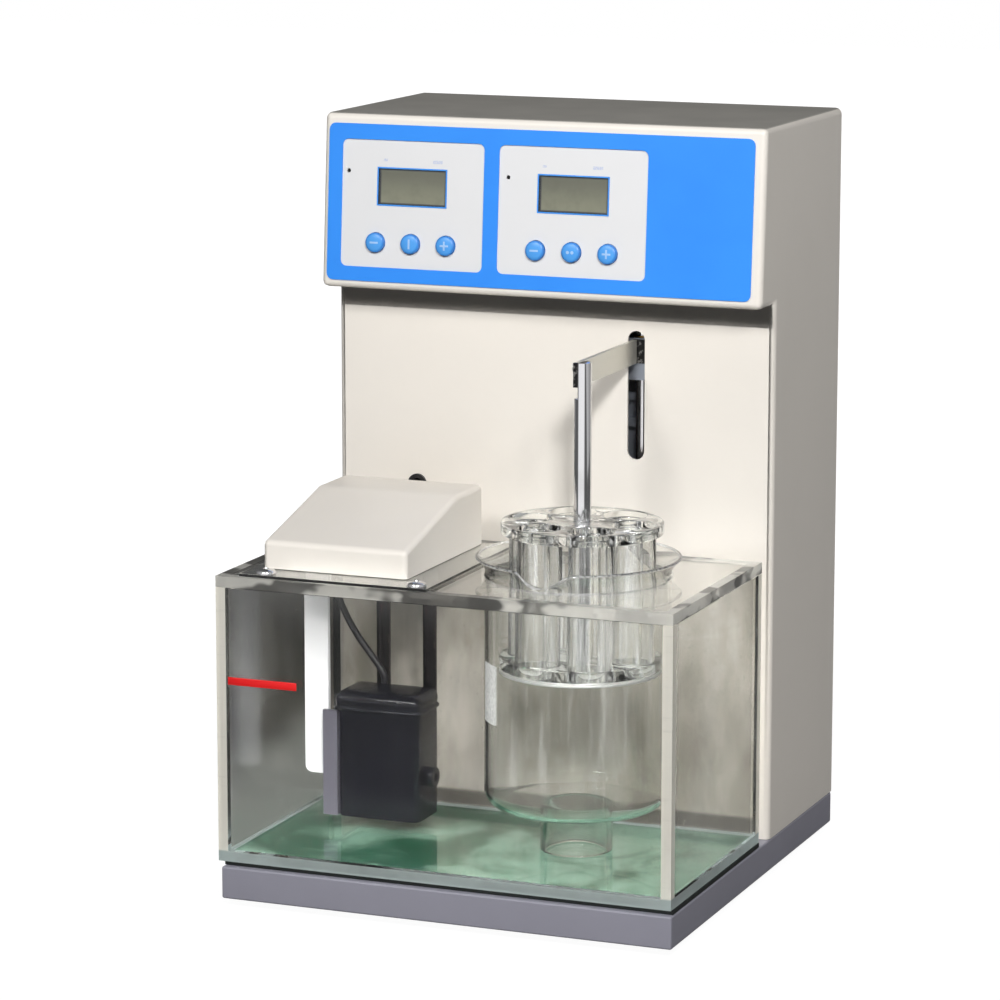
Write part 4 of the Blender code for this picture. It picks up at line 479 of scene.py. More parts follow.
def display_glass(name, centre):
    """Blank liquid crystal window: olive grey, with a darker rim, painted shade that darkens it
    towards its top, and a faint polariser sheen.
    """
    f = Finish(name, srgb(120, 121, 104), 0.22, Coat_Weight=0.6, Coat_Roughness=0.05)
    here = f.place(centre=centre)
    across = abs(f.along(centre, FACE_ACROSS, here))
    up = f.along(centre, FACE_UP, here)
    rim = f.math("MAXIMUM", f.band(across, 19.2 * MM, 19.9 * MM),
                 f.band(abs(up), 8.9 * MM, 9.5 * MM))
    # Painted shade: the pane is darker towards its top, as the recess above it would shade it.
    painted_top_shade = f.band(up, -9 * MM, 9 * MM)
    pane = f.mix(painted_top_shade, srgb(132, 133, 114), srgb(104, 105, 92))
    pane = f.mix(f.band(f.noise(160.0, 2.0), 0.4, 0.8) * 0.25, pane, srgb(96, 97, 84))
    f.set("Base Color", f.mix(rim, pane, srgb(64, 66, 66)))
    f.set("Roughness", 0.2 + rim * 0.2)
    return f.material


def display_rim():
    """Rim of a display: bright blue on the film, and painted dark blue down in the recess, as
    painted shade.
    """
    f = Finish("display_rim", srgb(60, 146, 236), 0.4)
    out = f.along(FACE_FOOT, FACE_OUT)
    # Painted shade: the rim's walls down in the recess are given a dark blue.
    deep = 1 - f.band(out, 0.02 * MM, 0.22 * MM)
    rub = f.noise(300.0, 3.0)
    rim = f.mix(f.band(rub, 0.4, 0.8) * 0.4, srgb(60, 146, 236), srgb(96, 170, 244))
    f.set("Base Color", f.mix(deep, rim, srgb(14, 30, 66)))
    f.set("Roughness", 0.36 + rub * 0.12)
    return f.material


def key_plastic(name, sign):
    """Blue button with a pale sign printed on its crown, laid out on the button's own map.

    The map runs from -1 to 1 across the button. A bar is where one distance is short and the
    other shorter still; a dot is where the distance to its middle is short.
    """
    blue = srgb(44, 128, 214)
    f = Finish(name, blue, 0.32)
    across, up, _ = f.axes(f.uv())

    def bar(a, b, long, thin):
        return (abs(a) < long) * (abs(b) < thin)

    def dot(shift):
        gone = across - shift
        return f.math("SQRT", gone * gone + up * up) < 0.17

    signs = {"minus": lambda: bar(across, up, 0.46, 0.10),
             "plus": lambda: f.math("MAXIMUM", bar(across, up, 0.46, 0.10),
                                    bar(up, across, 0.46, 0.10)),
             "stroke": lambda: bar(up, across, 0.50, 0.11),
             "dots": lambda: f.math("MAXIMUM", dot(-0.24), dot(0.24))}
    mark = signs[sign]()
    rub = f.noise(220.0, 3.0)
    radius = f.math("SQRT", across * across + up * up)
    body = f.mix(f.band(rub, 0.4, 0.8) * 0.4, blue, srgb(66, 150, 230))
    # Painted highlight: the dome's crown is paler than its edge, as light falling from above would
    # make it.
    body = f.mix(f.band(radius, 0.70, 1.0), srgb(78, 160, 236), body)
    f.set("Base Color", f.mix(mark * 0.8, body, srgb(176, 208, 246)))
    f.set("Roughness", 0.28 + rub * 0.14)
    f.set("Normal", f.bump(f.noise(1500.0, 2.0), 0.015 * MM, 0.4))
    return f.material


def circuit_board():
    """Green solder mask with fine copper tracks under it, from a folded sine pattern."""
    f = Finish("circuit_board", srgb(28, 96, 56), 0.35)
    x, _, z = f.axes(f.place())
    weave = f.math("SINE", x * 2600.0 + f.math("SINE", z * 900.0) * 2.5)
    track = f.band(weave, 0.72, 0.85)
    f.set("Base Color", f.mix(track, srgb(24, 84, 48), srgb(70, 140, 84)))
    f.set("Normal", f.bump(track, 0.03 * MM, 0.5))
    return f.material


def plated_steel():
    """Zinc-plated steel with its pale spangle."""
    f = Finish("plated_steel", srgb(168, 170, 172), 0.42, Metallic=0.8)
    spangle = f.node("TexVoronoi", None, {"Vector": f.place(), "Scale": 140.0}, 1)
    grey = f.node("RGBToBW", None, {0: spangle})
    f.set("Base Color", f.mix(grey, srgb(150, 152, 156), srgb(190, 192, 194)))
    f.set("Roughness", 0.34 + grey * 0.2)
    return f.material


def varnished_copper():
    """Varnished winding: close turns of copper wire as fine ridges round the core."""
    f = Finish("varnished_copper", srgb(150, 84, 48), 0.3)
    _, _, z = f.axes(f.place())
    turns = f.math("SINE", z * 9000.0)
    f.set("Base Color", f.mix(f.band(turns, -0.6, 0.6), srgb(96, 48, 26), srgb(170, 98, 56)))
    f.set("Normal", f.bump(turns, 0.12 * MM, 0.6))
    return f.material


def printed_glass(centre):
    """The beaker's glass, with a white patch to write on, a white highlight painted along its lip,
    and faint white runs.

    The patch is laid out by the angle round the beaker's axis and the height, the lip's painted
    highlight by the distance from the axis.
    """
    f = Finish("printed_glass", srgb(252, 253, 252), 0.0, IOR=1.47, Transmission_Weight=1.0)
    here = f.place(centre=centre)
    x, y, z = f.axes(here)
    angle = f.math("ARCTAN2", y, x)
    wave = f.noise(1.0, 2.0, 0.5, f.place(scale=(70, 70, 10)))
    f.set("Normal", f.bump(wave, 0.12 * MM, 0.3))
    f.set("Roughness", f.band(f.noise(30.0, 3.0), 0.62, 0.8) * 0.05)
    half = math.radians(9.5)
    off = abs(angle - math.radians(-139.0))
    patch = (off < half) * (abs(z - 67 * MM) < 16.5 * MM)
    chalk = f.noise(500.0, 3.0)
    share = patch * (0.72 + f.band(chalk, 0.3, 0.6) * 0.2)
    reach = f.math("SQRT", x * x + y * y)
    # Painted highlight: the lip's outer bead is whitened where light would glint on it.
    lip = f.band(reach, 56.2 * MM, 56.6 * MM) * (0.16 + f.band(chalk, 0.3, 0.6) * 0.2)
    run = f.noise(1.0, 4.0, 0.7, f.place(scale=(120, 120, 9)))
    film = f.band(run, 0.50, 0.75) * 0.14 * f.band(z, 8 * MM, 30 * MM)
    share = f.math("MAXIMUM", share, f.math("MAXIMUM", lip, film))
    print_and_lip_highlight = f.layer(srgb(236, 236, 234), 0.5)
    return f.output(f.clear_shadow(f.blend(share, f.lit(), print_and_lip_highlight), 0.92))


def level_tape():
    """Red adhesive tape: saturated, slightly translucent at its cut ends, with fine wrinkles."""
    f = Finish("level_tape", srgb(236, 34, 34), 0.35)
    wrinkle = f.noise(1.0, 3.0, 0.5, f.place(scale=(60, 60, 900)))
    f.set("Base Color", f.mix(f.band(wrinkle, 0.4, 0.8) * 0.5, srgb(240, 30, 32),
                              srgb(206, 20, 24)))
    f.set("Normal", f.bump(wrinkle, 0.05 * MM, 0.5))
    return f.material


# Surfaces

def pieces_mesh(name, groups, material, merge=0.002 * MM, smooth_angle=35.0):
    """One object from several grids of points, each a list of faces over rows and columns."""
    verts, faces, start = [], [], 0
    for points, loop_u, loop_v, caps in groups:
        rows, columns = points.shape[:2]
        index = np.arange(rows * columns).reshape(rows, columns) + start
        ring = np.vstack([index, index[:1]]) if loop_u else index
        ring = np.hstack([ring, ring[:, :1]]) if loop_v else ring
        quads = np.stack([ring[:-1, :-1], ring[1:, :-1], ring[1:, 1:], ring[:-1, 1:]], -1)
        faces += quads.reshape(-1, 4).tolist()
        if caps:
            faces += [index[0].tolist(), index[-1][::-1].tolist()]
        verts.append(points.reshape(-1, 3))
        start += rows * columns
    mesh = bpy.data.meshes.new(name)
    mesh.from_pydata(np.concatenate(verts).tolist(), [], faces)
    bm = bmesh.new()
    bm.from_mesh(mesh)
    bmesh.ops.remove_doubles(bm, verts=bm.verts, dist=merge)
    bmesh.ops.dissolve_degenerate(bm, edges=bm.edges, dist=merge)
    bmesh.ops.recalc_face_normals(bm, faces=bm.faces)
    bm.to_mesh(mesh)
    bm.free()
    mesh.shade_smooth()
    mesh.set_sharp_from_angle(angle=math.radians(smooth_angle))
    mesh.materials.append(material)
    obj = bpy.data.objects.new(name, mesh)
    bpy.context.scene.collection.objects.link(obj)
    return obj


def eased(points, radius, steps=4):
    """An outline with its corners rounded: each corner is cut back and crossed by an arc.

    The arc is a quadratic curve between the two cut-back points, with the corner as its handle.
    A corner too near its neighbours is cut back less. The two ends stay.
    """
    points = [np.asarray(p, float) for p in points]
    out = [points[0]]
    for before, here, after in zip(points, points[1:], points[2:]):
        back, on = before - here, after - here
        cut = min(radius, np.linalg.norm(back) * 0.49, np.linalg.norm(on) * 0.49)
        first = here + back / np.linalg.norm(back) * cut
        last = here + on / np.linalg.norm(on) * cut
        t = np.linspace(0, 1, steps + 1)[:, None]
        out += list((1 - t) ** 2 * first + 2 * t * (1 - t) * here + t ** 2 * last)
    out.append(points[-1])
    return np.array(out)


def turned_grid(profile, centre, sides=64, axis=(0, 0, 1)):
    """A profile of (radius, height) swept round an axis through a centre.

    Point (i, j) is the centre, plus the height along the axis, plus the radius times the cosine
    and sine of the angle along two directions square to the axis.
    """
    profile = np.asarray(profile, float)
    up = np.asarray(Vector(axis).normalized())
    side = np.asarray(Vector(axis).orthogonal().normalized())
    other = np.cross(up, side)
    angle = np.linspace(0, TAU, sides, endpoint=False)
    around = np.cos(angle)[:, None] * side + np.sin(angle)[:, None] * other
    points = profile[:, 0, None, None] * around + profile[:, 1, None, None] * up
    return points + np.asarray(centre, float)


def turned(name, profile, centre, material, sides=64, axis=(0, 0, 1), closed=False):
    """A turned piece. A closed profile is a loop that keeps clear of the axis."""
    grid = turned_grid(profile, centre, sides, axis)
    return pieces_mesh(name, [(grid, closed, True, False)], material)


def block_grid(low, high, radius, steps=3):
    """A box with rounded edges: the sum of a smaller box and a ball.

    Over two angles, the point is the ball's point, plus the smaller box's corner on that side.
    The angles hold each quarter's ends twice, and the flat faces open up between them.
    """
    low, high = np.asarray(low, float), np.asarray(high, float)
    middle, half = (low + high) / 2, (high - low) / 2 - radius
    quarter = np.linspace(0, math.pi / 2, steps + 1)
    lon = np.concatenate([quarter + k * math.pi / 2 for k in range(4)])
    lon_x = np.repeat([1, -1, -1, 1], steps + 1)
    lon_y = np.repeat([1, 1, -1, -1], steps + 1)
    lat = np.concatenate([quarter - math.pi / 2, quarter])
    lat_z = np.repeat([-1, 1], steps + 1)
    ball = np.stack([np.outer(np.cos(lat), np.cos(lon)), np.outer(np.cos(lat), np.sin(lon)),
                     np.outer(np.sin(lat), np.ones_like(lon))], -1) * radius
    corner = np.stack(np.broadcast_arrays(lon_x[None, :], lon_y[None, :], lat_z[:, None]), -1)
    return middle + corner * half + ball


def block(name, low, high, radius, material, steps=3):
    """A box with rounded edges. Its pole rows, flat at top and bottom, are closed by caps."""
    return pieces_mesh(name, [(block_grid(low, high, radius, steps), False, True, True)],
                       material)


def carried_grid(path, section):
    """A flat section carried along a path, square to it, without twisting.

    Each frame is the one before it, turned by the least turn between the two directions.
    """
    path = np.asarray(path, float)
    ahead = np.gradient(path, axis=0)
    ahead /= np.linalg.norm(ahead, axis=1)[:, None]
    side = np.asarray(Vector(ahead[0]).orthogonal().normalized())
    rows = []
    for here, way in zip(path, ahead):
        side = side - way * side.dot(way)
        side /= np.linalg.norm(side)
        other = np.cross(way, side)
        rows.append(here + section[:, 0, None] * side + section[:, 1, None] * other)
    return np.array(rows)


def circle_section(radius, sides):
    angle = np.linspace(0, TAU, sides, endpoint=False)
    return np.stack([np.cos(angle), np.sin(angle)], -1) * radius


def on_face(x, up, out=0.0):
    """A point on the head's leaning face."""
    return FACE_FOOT + FACE_ACROSS * x + FACE_UP * up + FACE_OUT * out


def flat_plate(name, outlines, low, thickness, edge, material, centre):
    """A flat plate with holes and softened edges: a filled curve given its thickness."""
    curve = bpy.data.curves.new(name, "CURVE")
    curve.dimensions = "2D"
    curve.fill_mode = "BOTH"
    curve.extrude = thickness / 2 - edge
    curve.bevel_depth = edge
    curve.bevel_resolution = 1
    for outline in outlines:
        spline = curve.splines.new("POLY")
        spline.points.add(len(outline) - 1)
        count = len(outline)
        corners = np.column_stack([outline, np.zeros(count), np.ones(count)])
        spline.points.foreach_set("co", corners.ravel())
        spline.use_cyclic_u = True
    holder = bpy.data.objects.new(name, curve)
    bpy.context.scene.collection.objects.link(holder)
    bpy.context.view_layer.update()
    graph = bpy.context.evaluated_depsgraph_get()
    mesh = bpy.data.meshes.new_from_object(holder.evaluated_get(graph))
    bpy.data.objects.remove(holder)
    mesh.transform(Matrix.Translation((*centre, low + thickness / 2)))
    bm = bmesh.new()
    bm.from_mesh(mesh)
    bmesh.ops.remove_doubles(bm, verts=bm.verts, dist=0.002 * MM)
    bmesh.ops.recalc_face_normals(bm, faces=bm.faces)
    bm.to_mesh(mesh)
    bm.free()
    mesh.shade_smooth()
    mesh.set_sharp_from_angle(angle=math.radians(50))
    mesh.materials.clear()
    mesh.materials.append(material)
    obj = bpy.data.objects.new(name, mesh)
    bpy.context.scene.collection.objects.link(obj)
    return obj


def ring_points(x, y, radius, sides):
    angle = np.linspace(0, TAU, sides, endpoint=False)
    return np.stack([x + radius * np.cos(angle), y + radius * np.sin(angle)], -1)


# Joining the pieces to the frame

def dress(piece, body, stands_for=()):
    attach(piece, body)
    if stands_for:
        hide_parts(*stands_for)
    return piece


def smoothed(node, material, angle=32.0):
    """The solid's own shape with its faces joined and its curves shaded smooth.

    At each corner the larger faces count for more, so that flats stay flat up to their edges.
    """
    mesh = frame["nodes"][node].data.copy()
    bm = bmesh.new()
    bm.from_mesh(mesh)
    bmesh.ops.remove_doubles(bm, verts=bm.verts, dist=0.002 * MM)
    bmesh.ops.dissolve_limit(bm, angle_limit=math.radians(0.4), verts=bm.verts, edges=bm.edges)
    bm.to_mesh(mesh)
    bm.free()
    mesh.shade_smooth()
    mesh.set_sharp_from_angle(angle=math.radians(angle))
    mesh.materials.clear()
    mesh.materials.append(material)
    holder = bpy.data.objects.new(node, mesh)
    bpy.context.scene.collection.objects.link(holder)
    weigh = holder.modifiers.new("flats", "WEIGHTED_NORMAL")
    weigh.keep_sharp = True
    weigh.weight = 80
    bpy.context.view_layer.update()
    graph = bpy.context.evaluated_depsgraph_get()
    finished = bpy.data.meshes.new_from_object(holder.evaluated_get(graph))
    bpy.data.objects.remove(holder)
    obj = bpy.data.objects.new(node + "_surface", finished)
    bpy.context.scene.collection.objects.link(obj)
    return dress(obj, BODY_OF[node], [node])


def repaint(node, material):
    """Give a solid whose shape is right its detailed finish."""
    mesh = frame["nodes"][node].data
    mesh.materials.clear()
    mesh.materials.append(material)


def middle_of(node):
    low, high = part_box(node)
    return (Vector(low) + Vector(high)) / 2


# Pieces

def make_case(paint):
    smoothed("case_shell", case_enamel())
    for node in ("rear_panel", "heater_housing"):
        smoothed(node, paint)
    low, high = (Vector(c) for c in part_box("rear_panel"))
    steel = polished_steel("screw_steel", (400, 400, 400), 0.2)
    groups = []
    inset = 9 * MM
    for x in (low.x + inset, high.x - inset):
        for z in (low.z + inset, (low.z + high.z) / 2, high.z - inset):
            groups.append(screw_grid((x, high.y, z), (0, 1, 0), 3.2 * MM, 1.6 * MM))
    screws = pieces_mesh("rear_screws", groups, steel)
    dress(screws, "stand")


def screw_grid(place, axis, radius, height):
    """A dome-headed screw: a quarter-circle crown above a short rim."""
    turn = np.linspace(0, math.pi / 2, 6)
    crown = np.stack([radius * np.sin(turn), height * (0.3 + 0.7 * np.cos(turn))], -1)
    crown = crown[turn > 0.25]
    profile = np.vstack([[0, height * 0.62], [radius * 0.24, height * 0.62], crown,
                         [radius, 0.02 * height], [0, 0.02 * height]])
    return turned_grid(profile, place, 28, axis), False, True, False


def make_base():
    slate = slate_enamel()
    smoothed("base_plinth", slate)
    repaint("bottom_cover", plated_steel())
    repaint("tank_mat", green_rubber())
    rubber = moulded_plastic("foot_rubber", srgb(28, 28, 30), 0.75, 700.0, 0.4)
    for end in ("front", "rear"):
        for side in ("left", "right"):
            smoothed(f"foot_{end}_{side}", rubber)


def make_panel():
    repaint("panel_overlay", panel_film())
    rim = display_rim()
    for name, middle in (("time", -77.65 * MM), ("temperature", 20.2 * MM)):
        centre = on_face(middle, 58.85 * MM, -1.2 * MM)
        repaint(f"{name}_display", display_glass(f"{name}_pane", centre))
        repaint(f"{name}_lamp", moulded_plastic(f"{name}_lamp_lens", srgb(22, 22, 24), 0.15))
        dress(display_frame(f"{name}_display_frame", middle, rim), "stand")
        signs = ("minus", "stroke", "plus") if name == "time" else ("minus", "dots", "plus")
        for label, step, sign in zip(("down", "set", "up"), (-1, 0, 1), signs):
            make_key(f"{name}_{label}", middle + step * 21.65 * MM, sign)
    repaint("control_board", circuit_board())


def display_frame(name, middle, material):
    """A thin rim round a display: a small section carried round the opening's rectangle."""
    wide, tall, line, depth = 41.6 * MM, 20.6 * MM, 0.7 * MM, 1.3 * MM
    loops = []
    for inset, out in ((-line, 0.05 * MM), (-line, 0.3 * MM), (0.1 * MM, 0.3 * MM),
                       (0.1 * MM, -depth + 0.2 * MM), (0.0, -depth + 0.2 * MM), (0.0, 0.05 * MM)):
        a, b = wide / 2 - inset, tall / 2 - inset
        loops.append([on_face(middle + sx * a, 58.85 * MM + sy * b, out)
                      for sx, sy in ((-1, -1), (1, -1), (1, 1), (-1, 1))])
    return pieces_mesh(name, [(np.array(loops, float), True, True, False)], material)


def make_key(name, across, sign):
    """A button: a shallow dome on a short barrel, a groove round its foot, a flange and a stem.

    Its map holds the distance from the axis across and up the face, in button radii.
    """
    radius, rise, crown = 5.6 * MM, 2.0 * MM, 1.2 * MM
    turn = np.linspace(0, math.pi / 2, 9)
    dome = np.stack([radius * np.sin(turn), rise + crown * np.cos(turn)], -1)
    back = -1.8 * MM
    profile = np.vstack([dome, [radius, back], [radius + 1.0 * MM, back],
                         [radius + 1.0 * MM, back - 1.4 * MM], [2 * MM, back - 1.4 * MM],
                         [2 * MM, back - 5.4 * MM], [0, back - 5.4 * MM]])
    centre = on_face(across, 26.8 * MM)
    key = turned(f"{name}_key_cap", profile, centre, key_plastic(f"{name}_plastic", sign), 48,
                 FACE_OUT)
    layer = key.data.uv_layers.new(name="UVMap")
    count = len(key.data.loops)
    index = np.zeros(count, np.int64)
    key.data.loops.foreach_get("vertex_index", index)
    points = np.zeros(len(key.data.vertices) * 3)
    key.data.vertices.foreach_get("co", points)
    off = points.reshape(-1, 3)[index] - np.asarray(centre)
    flat = np.stack([off @ np.asarray(FACE_ACROSS), off @ np.asarray(FACE_UP)], -1) / radius
    layer.data.foreach_set("uv", flat.ravel())
    dress(key, f"{name}_key", [f"{name}_button"])


def make_tank():
    low, high = (np.array(c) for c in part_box("water_tank"))
    repaint("water_tank", sheet_edges("tank_sheet", low, high, 6.0 * MM, True,
                                      srgb(255, 251, 238), srgb(176, 188, 186), 0.92))
    low, high = (np.array(c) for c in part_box("tank_cover"))
    repaint("tank_cover", sheet_edges("cover_sheet", low, high, 6.2 * MM, False,
                                      srgb(222, 220, 212), srgb(222, 220, 212), 0.78, 0.9))
    tank_low, tank_high = (np.array(c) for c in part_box("water_tank"))
    front = tank_low[1]
    centre = 129.5 * MM
    left = 1.0 * MM - 127.7 * MM
    tape = block("level_mark", (left, front - 0.25 * MM, centre - 2.2 * MM),
                 (left + 41.4 * MM, front - 0.02 * MM, centre + 2.2 * MM), 0.1 * MM,
                 level_tape(), 2)
    dress(tape, "stand")


def make_beaker():
    """The beaker as one turned skin, with its lip drawn out and down into a spout.

    Near the front, the lip moves outwards and down by a squared cosine of the angle from the
    spout's middle, times how far up the lip the point is.
    """
    low, high = (np.array(c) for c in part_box("beaker"))
    place = JOINT["beaker_lift"]["pos_m"]
    radius, wall, corner = 51.4 * MM, 2.0 * MM, 10.0 * MM
    lip, lip_height = 5.5 * MM, 9.0 * MM
    height = high[2] - low[2]
    neck = height - lip_height
    turn = np.linspace(0, math.pi / 2, 10)
    outer_corner = np.stack([radius - corner + corner * np.sin(turn),
                             corner - corner * np.cos(turn)], -1)
    inner = corner - wall
    inner_corner = np.stack([radius - corner + inner * np.sin(turn),
                             wall + inner - inner * np.cos(turn)], -1)
    up = np.linspace(0, 1, 12)
    flare = lip * up ** 1.6
    outside = np.stack([radius + flare, neck + (lip_height - wall / 2) * up], -1)
    inside = outside - [wall * 0.96, 0]
    bead = np.linspace(0, math.pi, 9)[1:-1]
    middle = (outside[-1] + inside[-1]) / 2
    bead = np.stack([middle[0] + wall / 2 * np.cos(bead), middle[1] + wall / 2 * np.sin(bead)], -1)
    lift = np.linspace(corner, neck, 14)[1:-1]
    walls = [np.stack([np.full_like(lift, r), lift], -1) for r in (radius, radius - wall)]
    profile = np.vstack([[0, 0], outer_corner, walls[0], outside, bead, inside[::-1],
                         walls[1][::-1], inner_corner[::-1], [0, wall]])
    grid = turned_grid(profile, place, 128)
    off = grid - np.asarray(place)
    angle = np.abs(np.arctan2(off[..., 1], off[..., 0]) + math.pi / 2)
    half = math.radians(19.0)
    pull = np.where(angle < half, np.cos(np.minimum(angle / half, 1) * math.pi / 2) ** 2, 0)
    pull = pull * np.clip((off[..., 2] - neck) / lip_height, 0, 1)
    reach = np.maximum(np.linalg.norm(off[..., :2], axis=-1, keepdims=True), 1e-9)
    grid[..., :2] += off[..., :2] / reach * pull[..., None] * 8.5 * MM
    grid[..., 2] -= pull * 7.0 * MM
    glass = pieces_mesh("beaker_glass", [(grid, False, True, False)], printed_glass(place))
    dress(glass, "beaker", ["beaker"])
    low, high = (np.array(c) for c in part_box("beaker_stand"))
    outer, inner = 20.3 * MM, 17.0 * MM
    loop = [[inner, 0], [outer, 0], [outer, high[2] - low[2]], [inner, high[2] - low[2]]]
    loop = eased([[(inner + outer) / 2, 0], *loop[1:], loop[0], [(inner + outer) / 2, 0]],
                 0.8 * MM)[:-1]
    stand = turned("beaker_stand_ring", loop, (place[0], place[1], low[2]), clear_acrylic(), 96,
                   closed=True)
    dress(stand, "stand", ["beaker_stand"])


def tube_middles():
    return [middle_of(f"glass_tube_{i}") for i in range(1, 7)]


def make_basket():
    hook = JOINT["basket_unhook"]["pos_m"]
    axis = (hook[0], hook[1])
    spots = [(m.x - axis[0], m.y - axis[1]) for m in tube_middles()]
    acrylic = clear_acrylic()
    edge = 0.5 * MM
    for node, bore in (("basket_upper_plate", 5.2 * MM), ("basket_lower_plate", 3.3 * MM)):
        low, high = (np.array(c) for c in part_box(node))
        outlines = [ring_points(0, 0, 45 * MM - edge, 128), ring_points(0, 0, bore + edge, 32)]
        outlines += [ring_points(x, y, 12.7 * MM + edge, 64) for x, y in spots]
        plate = flat_plate(node + "_disc", outlines, low[2], high[2] - low[2], edge, acrylic,
                           axis)
        dress(plate, "basket", [node])
    glass = laboratory_glass()
    for number, middle in enumerate(tube_middles(), 1):
        make_tube(f"glass_tube_{number}", middle, glass)
    make_cloth(axis, spots)
    smoothed("hanger_rod", polished_steel("rod_steel", (900, 900, 10), 0.08))
    smoothed("hanging_pin", brushed_steel("pin_steel", (1500, 60, 60)))


def make_tube(node, middle, glass):
    """An open glass tube: a thin ring section with fire-polished round ends."""
    low, high = (np.array(c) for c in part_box(node))
    outer, inner = 12.4 * MM, 10.7 * MM
    half, height = (outer - inner) / 2, high[2] - low[2]
    mid = (outer + inner) / 2
    top = np.linspace(0, math.pi, 9)
    upper = np.stack([mid + half * np.cos(top), height - half + half * np.sin(top)], -1)
    lower = np.stack([mid - half * np.cos(top), half - half * np.sin(top)], -1)
    tube = turned(node + "_glass", np.vstack([upper, lower]), (middle.x, middle.y, low[2]), glass,
                  64, closed=True)
    dress(tube, "basket", [node])


def make_cloth(axis, spots):
    """Woven wire under the basket, held by a pierced disc.

    Each wire runs straight across, and rises and falls by a cosine with the pitch of the
    wires that cross it, one set against the other. It ends on the cloth's round edge.
    """
    low, high = (np.array(c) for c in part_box("wire_cloth"))
    middle, reach = (low[2] + high[2]) / 2, 43.0 * MM
    pitch, wire = 2.4 * MM, 0.26 * MM
    swing = (high[2] - low[2]) / 2 - wire / 2
    count = int(reach / pitch)
    section = circle_section(wire / 2 * 1.2, 4)
    groups = []
    for turn in (0, 1):
        for k in range(-count, count + 1):
            off = k * pitch
            long = math.sqrt(reach ** 2 - off ** 2)
            if long < 6 * MM:
                continue
            s = np.linspace(-long, long, max(8, int(4 * 2 * long / pitch)))
            rise = swing * np.cos(math.pi * s / pitch + math.pi * (k + turn))
            path = np.stack([s, np.full_like(s, off), rise], -1)
            if turn:
                path = path[:, [1, 0, 2]]
            path = path + [axis[0], axis[1], middle]
            groups.append((carried_grid(path, section), False, True, True))
    rim = np.linspace(0, TAU, 96, endpoint=False)
    loop = np.stack([axis[0] + reach * np.cos(rim), axis[1] + reach * np.sin(rim),
                     np.full_like(rim, middle)], -1)
    tilt = circle_section(0.27 * MM, 6)
    away = (loop - [axis[0], axis[1], middle]) / reach
    hoop = loop[:, None, :] + tilt[None, :, :1] * away[:, None, :]
    hoop = hoop + tilt[None, :, 1:] * np.array([0, 0, 1.0])
    groups.append((hoop, True, True, False))
    steel = brushed_steel("wire_steel", (300, 300, 300), (238, 238, 236))
    dress(pieces_mesh("wire_cloth_weave", groups, steel, merge=1e-7), "basket",
          ["wire_cloth"])
    low, high = (np.array(c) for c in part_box("mesh_retainer"))
    edge = 0.25 * MM
    outlines = [ring_points(0, 0, 45 * MM - edge, 128), ring_points(0, 0, 3.3 * MM + edge, 32)]
    outlines += [ring_points(x, y, 11.2 * MM + edge, 64) for x, y in spots]
    disc = flat_plate("mesh_retainer_disc", outlines, low[2], high[2] - low[2], edge,
                      brushed_steel("retainer_steel", (300, 300, 300), (240, 240, 238)), axis)
    dress(disc, "basket", ["mesh_retainer"])


def arm_steel():
    """The arm's pale steel, painted near-black at its nose and, mottled, where it runs in the
    case: painted shade where both ends lie in shadow.
    """
    nose = middle_of("hanger_rod").y + 1.5 * MM
    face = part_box("panel_overlay")[1][1] + 24.0 * MM
    f = Finish("arm_steel", srgb(222, 220, 210), 0.34, Metallic=0.6)
    lines = f.noise(1.0, 4.0, 0.65, f.place(scale=(40, 40, 1400)))
    stain = f.noise(30.0, 4.0)
    _, depth, _ = f.axes(f.place())
    pale = f.mix(f.band(stain, 0.45, 0.8) * 0.4, srgb(222, 220, 210), srgb(196, 194, 184))
    black = f.mix(f.band(f.noise(420.0, 4.0), 0.50, 0.62), srgb(24, 23, 23), srgb(118, 116, 114))
    # Painted shade: the nose in front of the rod and the part behind the column's face are
    # darkened for the shadow they lie in.
    ends = (1 - f.band(depth, nose - 0.4 * MM, nose)) + f.band(depth, face - 0.6 * MM, face)
    f.set("Base Color", f.mix(f.clamp(ends), pale, black))
    f.set("Roughness", 0.28 + lines * 0.2)
    f.set("Normal", f.bump(lines, 0.02 * MM, 0.6))
    return f.material


def make_lift():
    smoothed("lift_arm", arm_steel())
    machined = brushed_steel("machined_steel", (900, 40, 900), (170, 176, 186))
    for node in ("slider_block", "yoke", "crank_disc"):
        smoothed(node, machined)
    bronze = bearing_bronze()
    for node in ("guide_bush", "pin_roller"):
        smoothed(node, bronze)
    smoothed("guide_rod", polished_steel("guide_steel", (900, 900, 20), 0.08))
    plated = plated_steel()
    for node in ("lift_frame", "gear_motor"):
        smoothed(node, plated)
    repaint("transformer", varnished_copper())


def smooth_route(points, step):
    """Points about a step apart on a smooth curve through the route's own points."""
    ends = [points[0] * 2 - points[1], *points, points[-1] * 2 - points[-2]]
    route = []
    for i in range(1, len(ends) - 2):
        a, b, c, d = ends[i - 1:i + 3]
        count = max(1, round((c - b).length / step))
        for k in range(count):
            t = k / count
            route.append(0.5 * (2 * b + (c - a) * t + (2 * a - 5 * b + 4 * c - d) * t ** 2
                                + (3 * b - 3 * c + d - a) * t ** 3))
    route.append(points[-1])
    return route


# The pump's cable between its two straight ends: shares of the way across, and of the way down
CABLE_SHARES = ((0.02, 0.36), (0.16, 0.50), (0.42, 0.66), (0.72, 0.80), (0.93, 0.90))
CABLE_RADIUS = 1.9 * MM


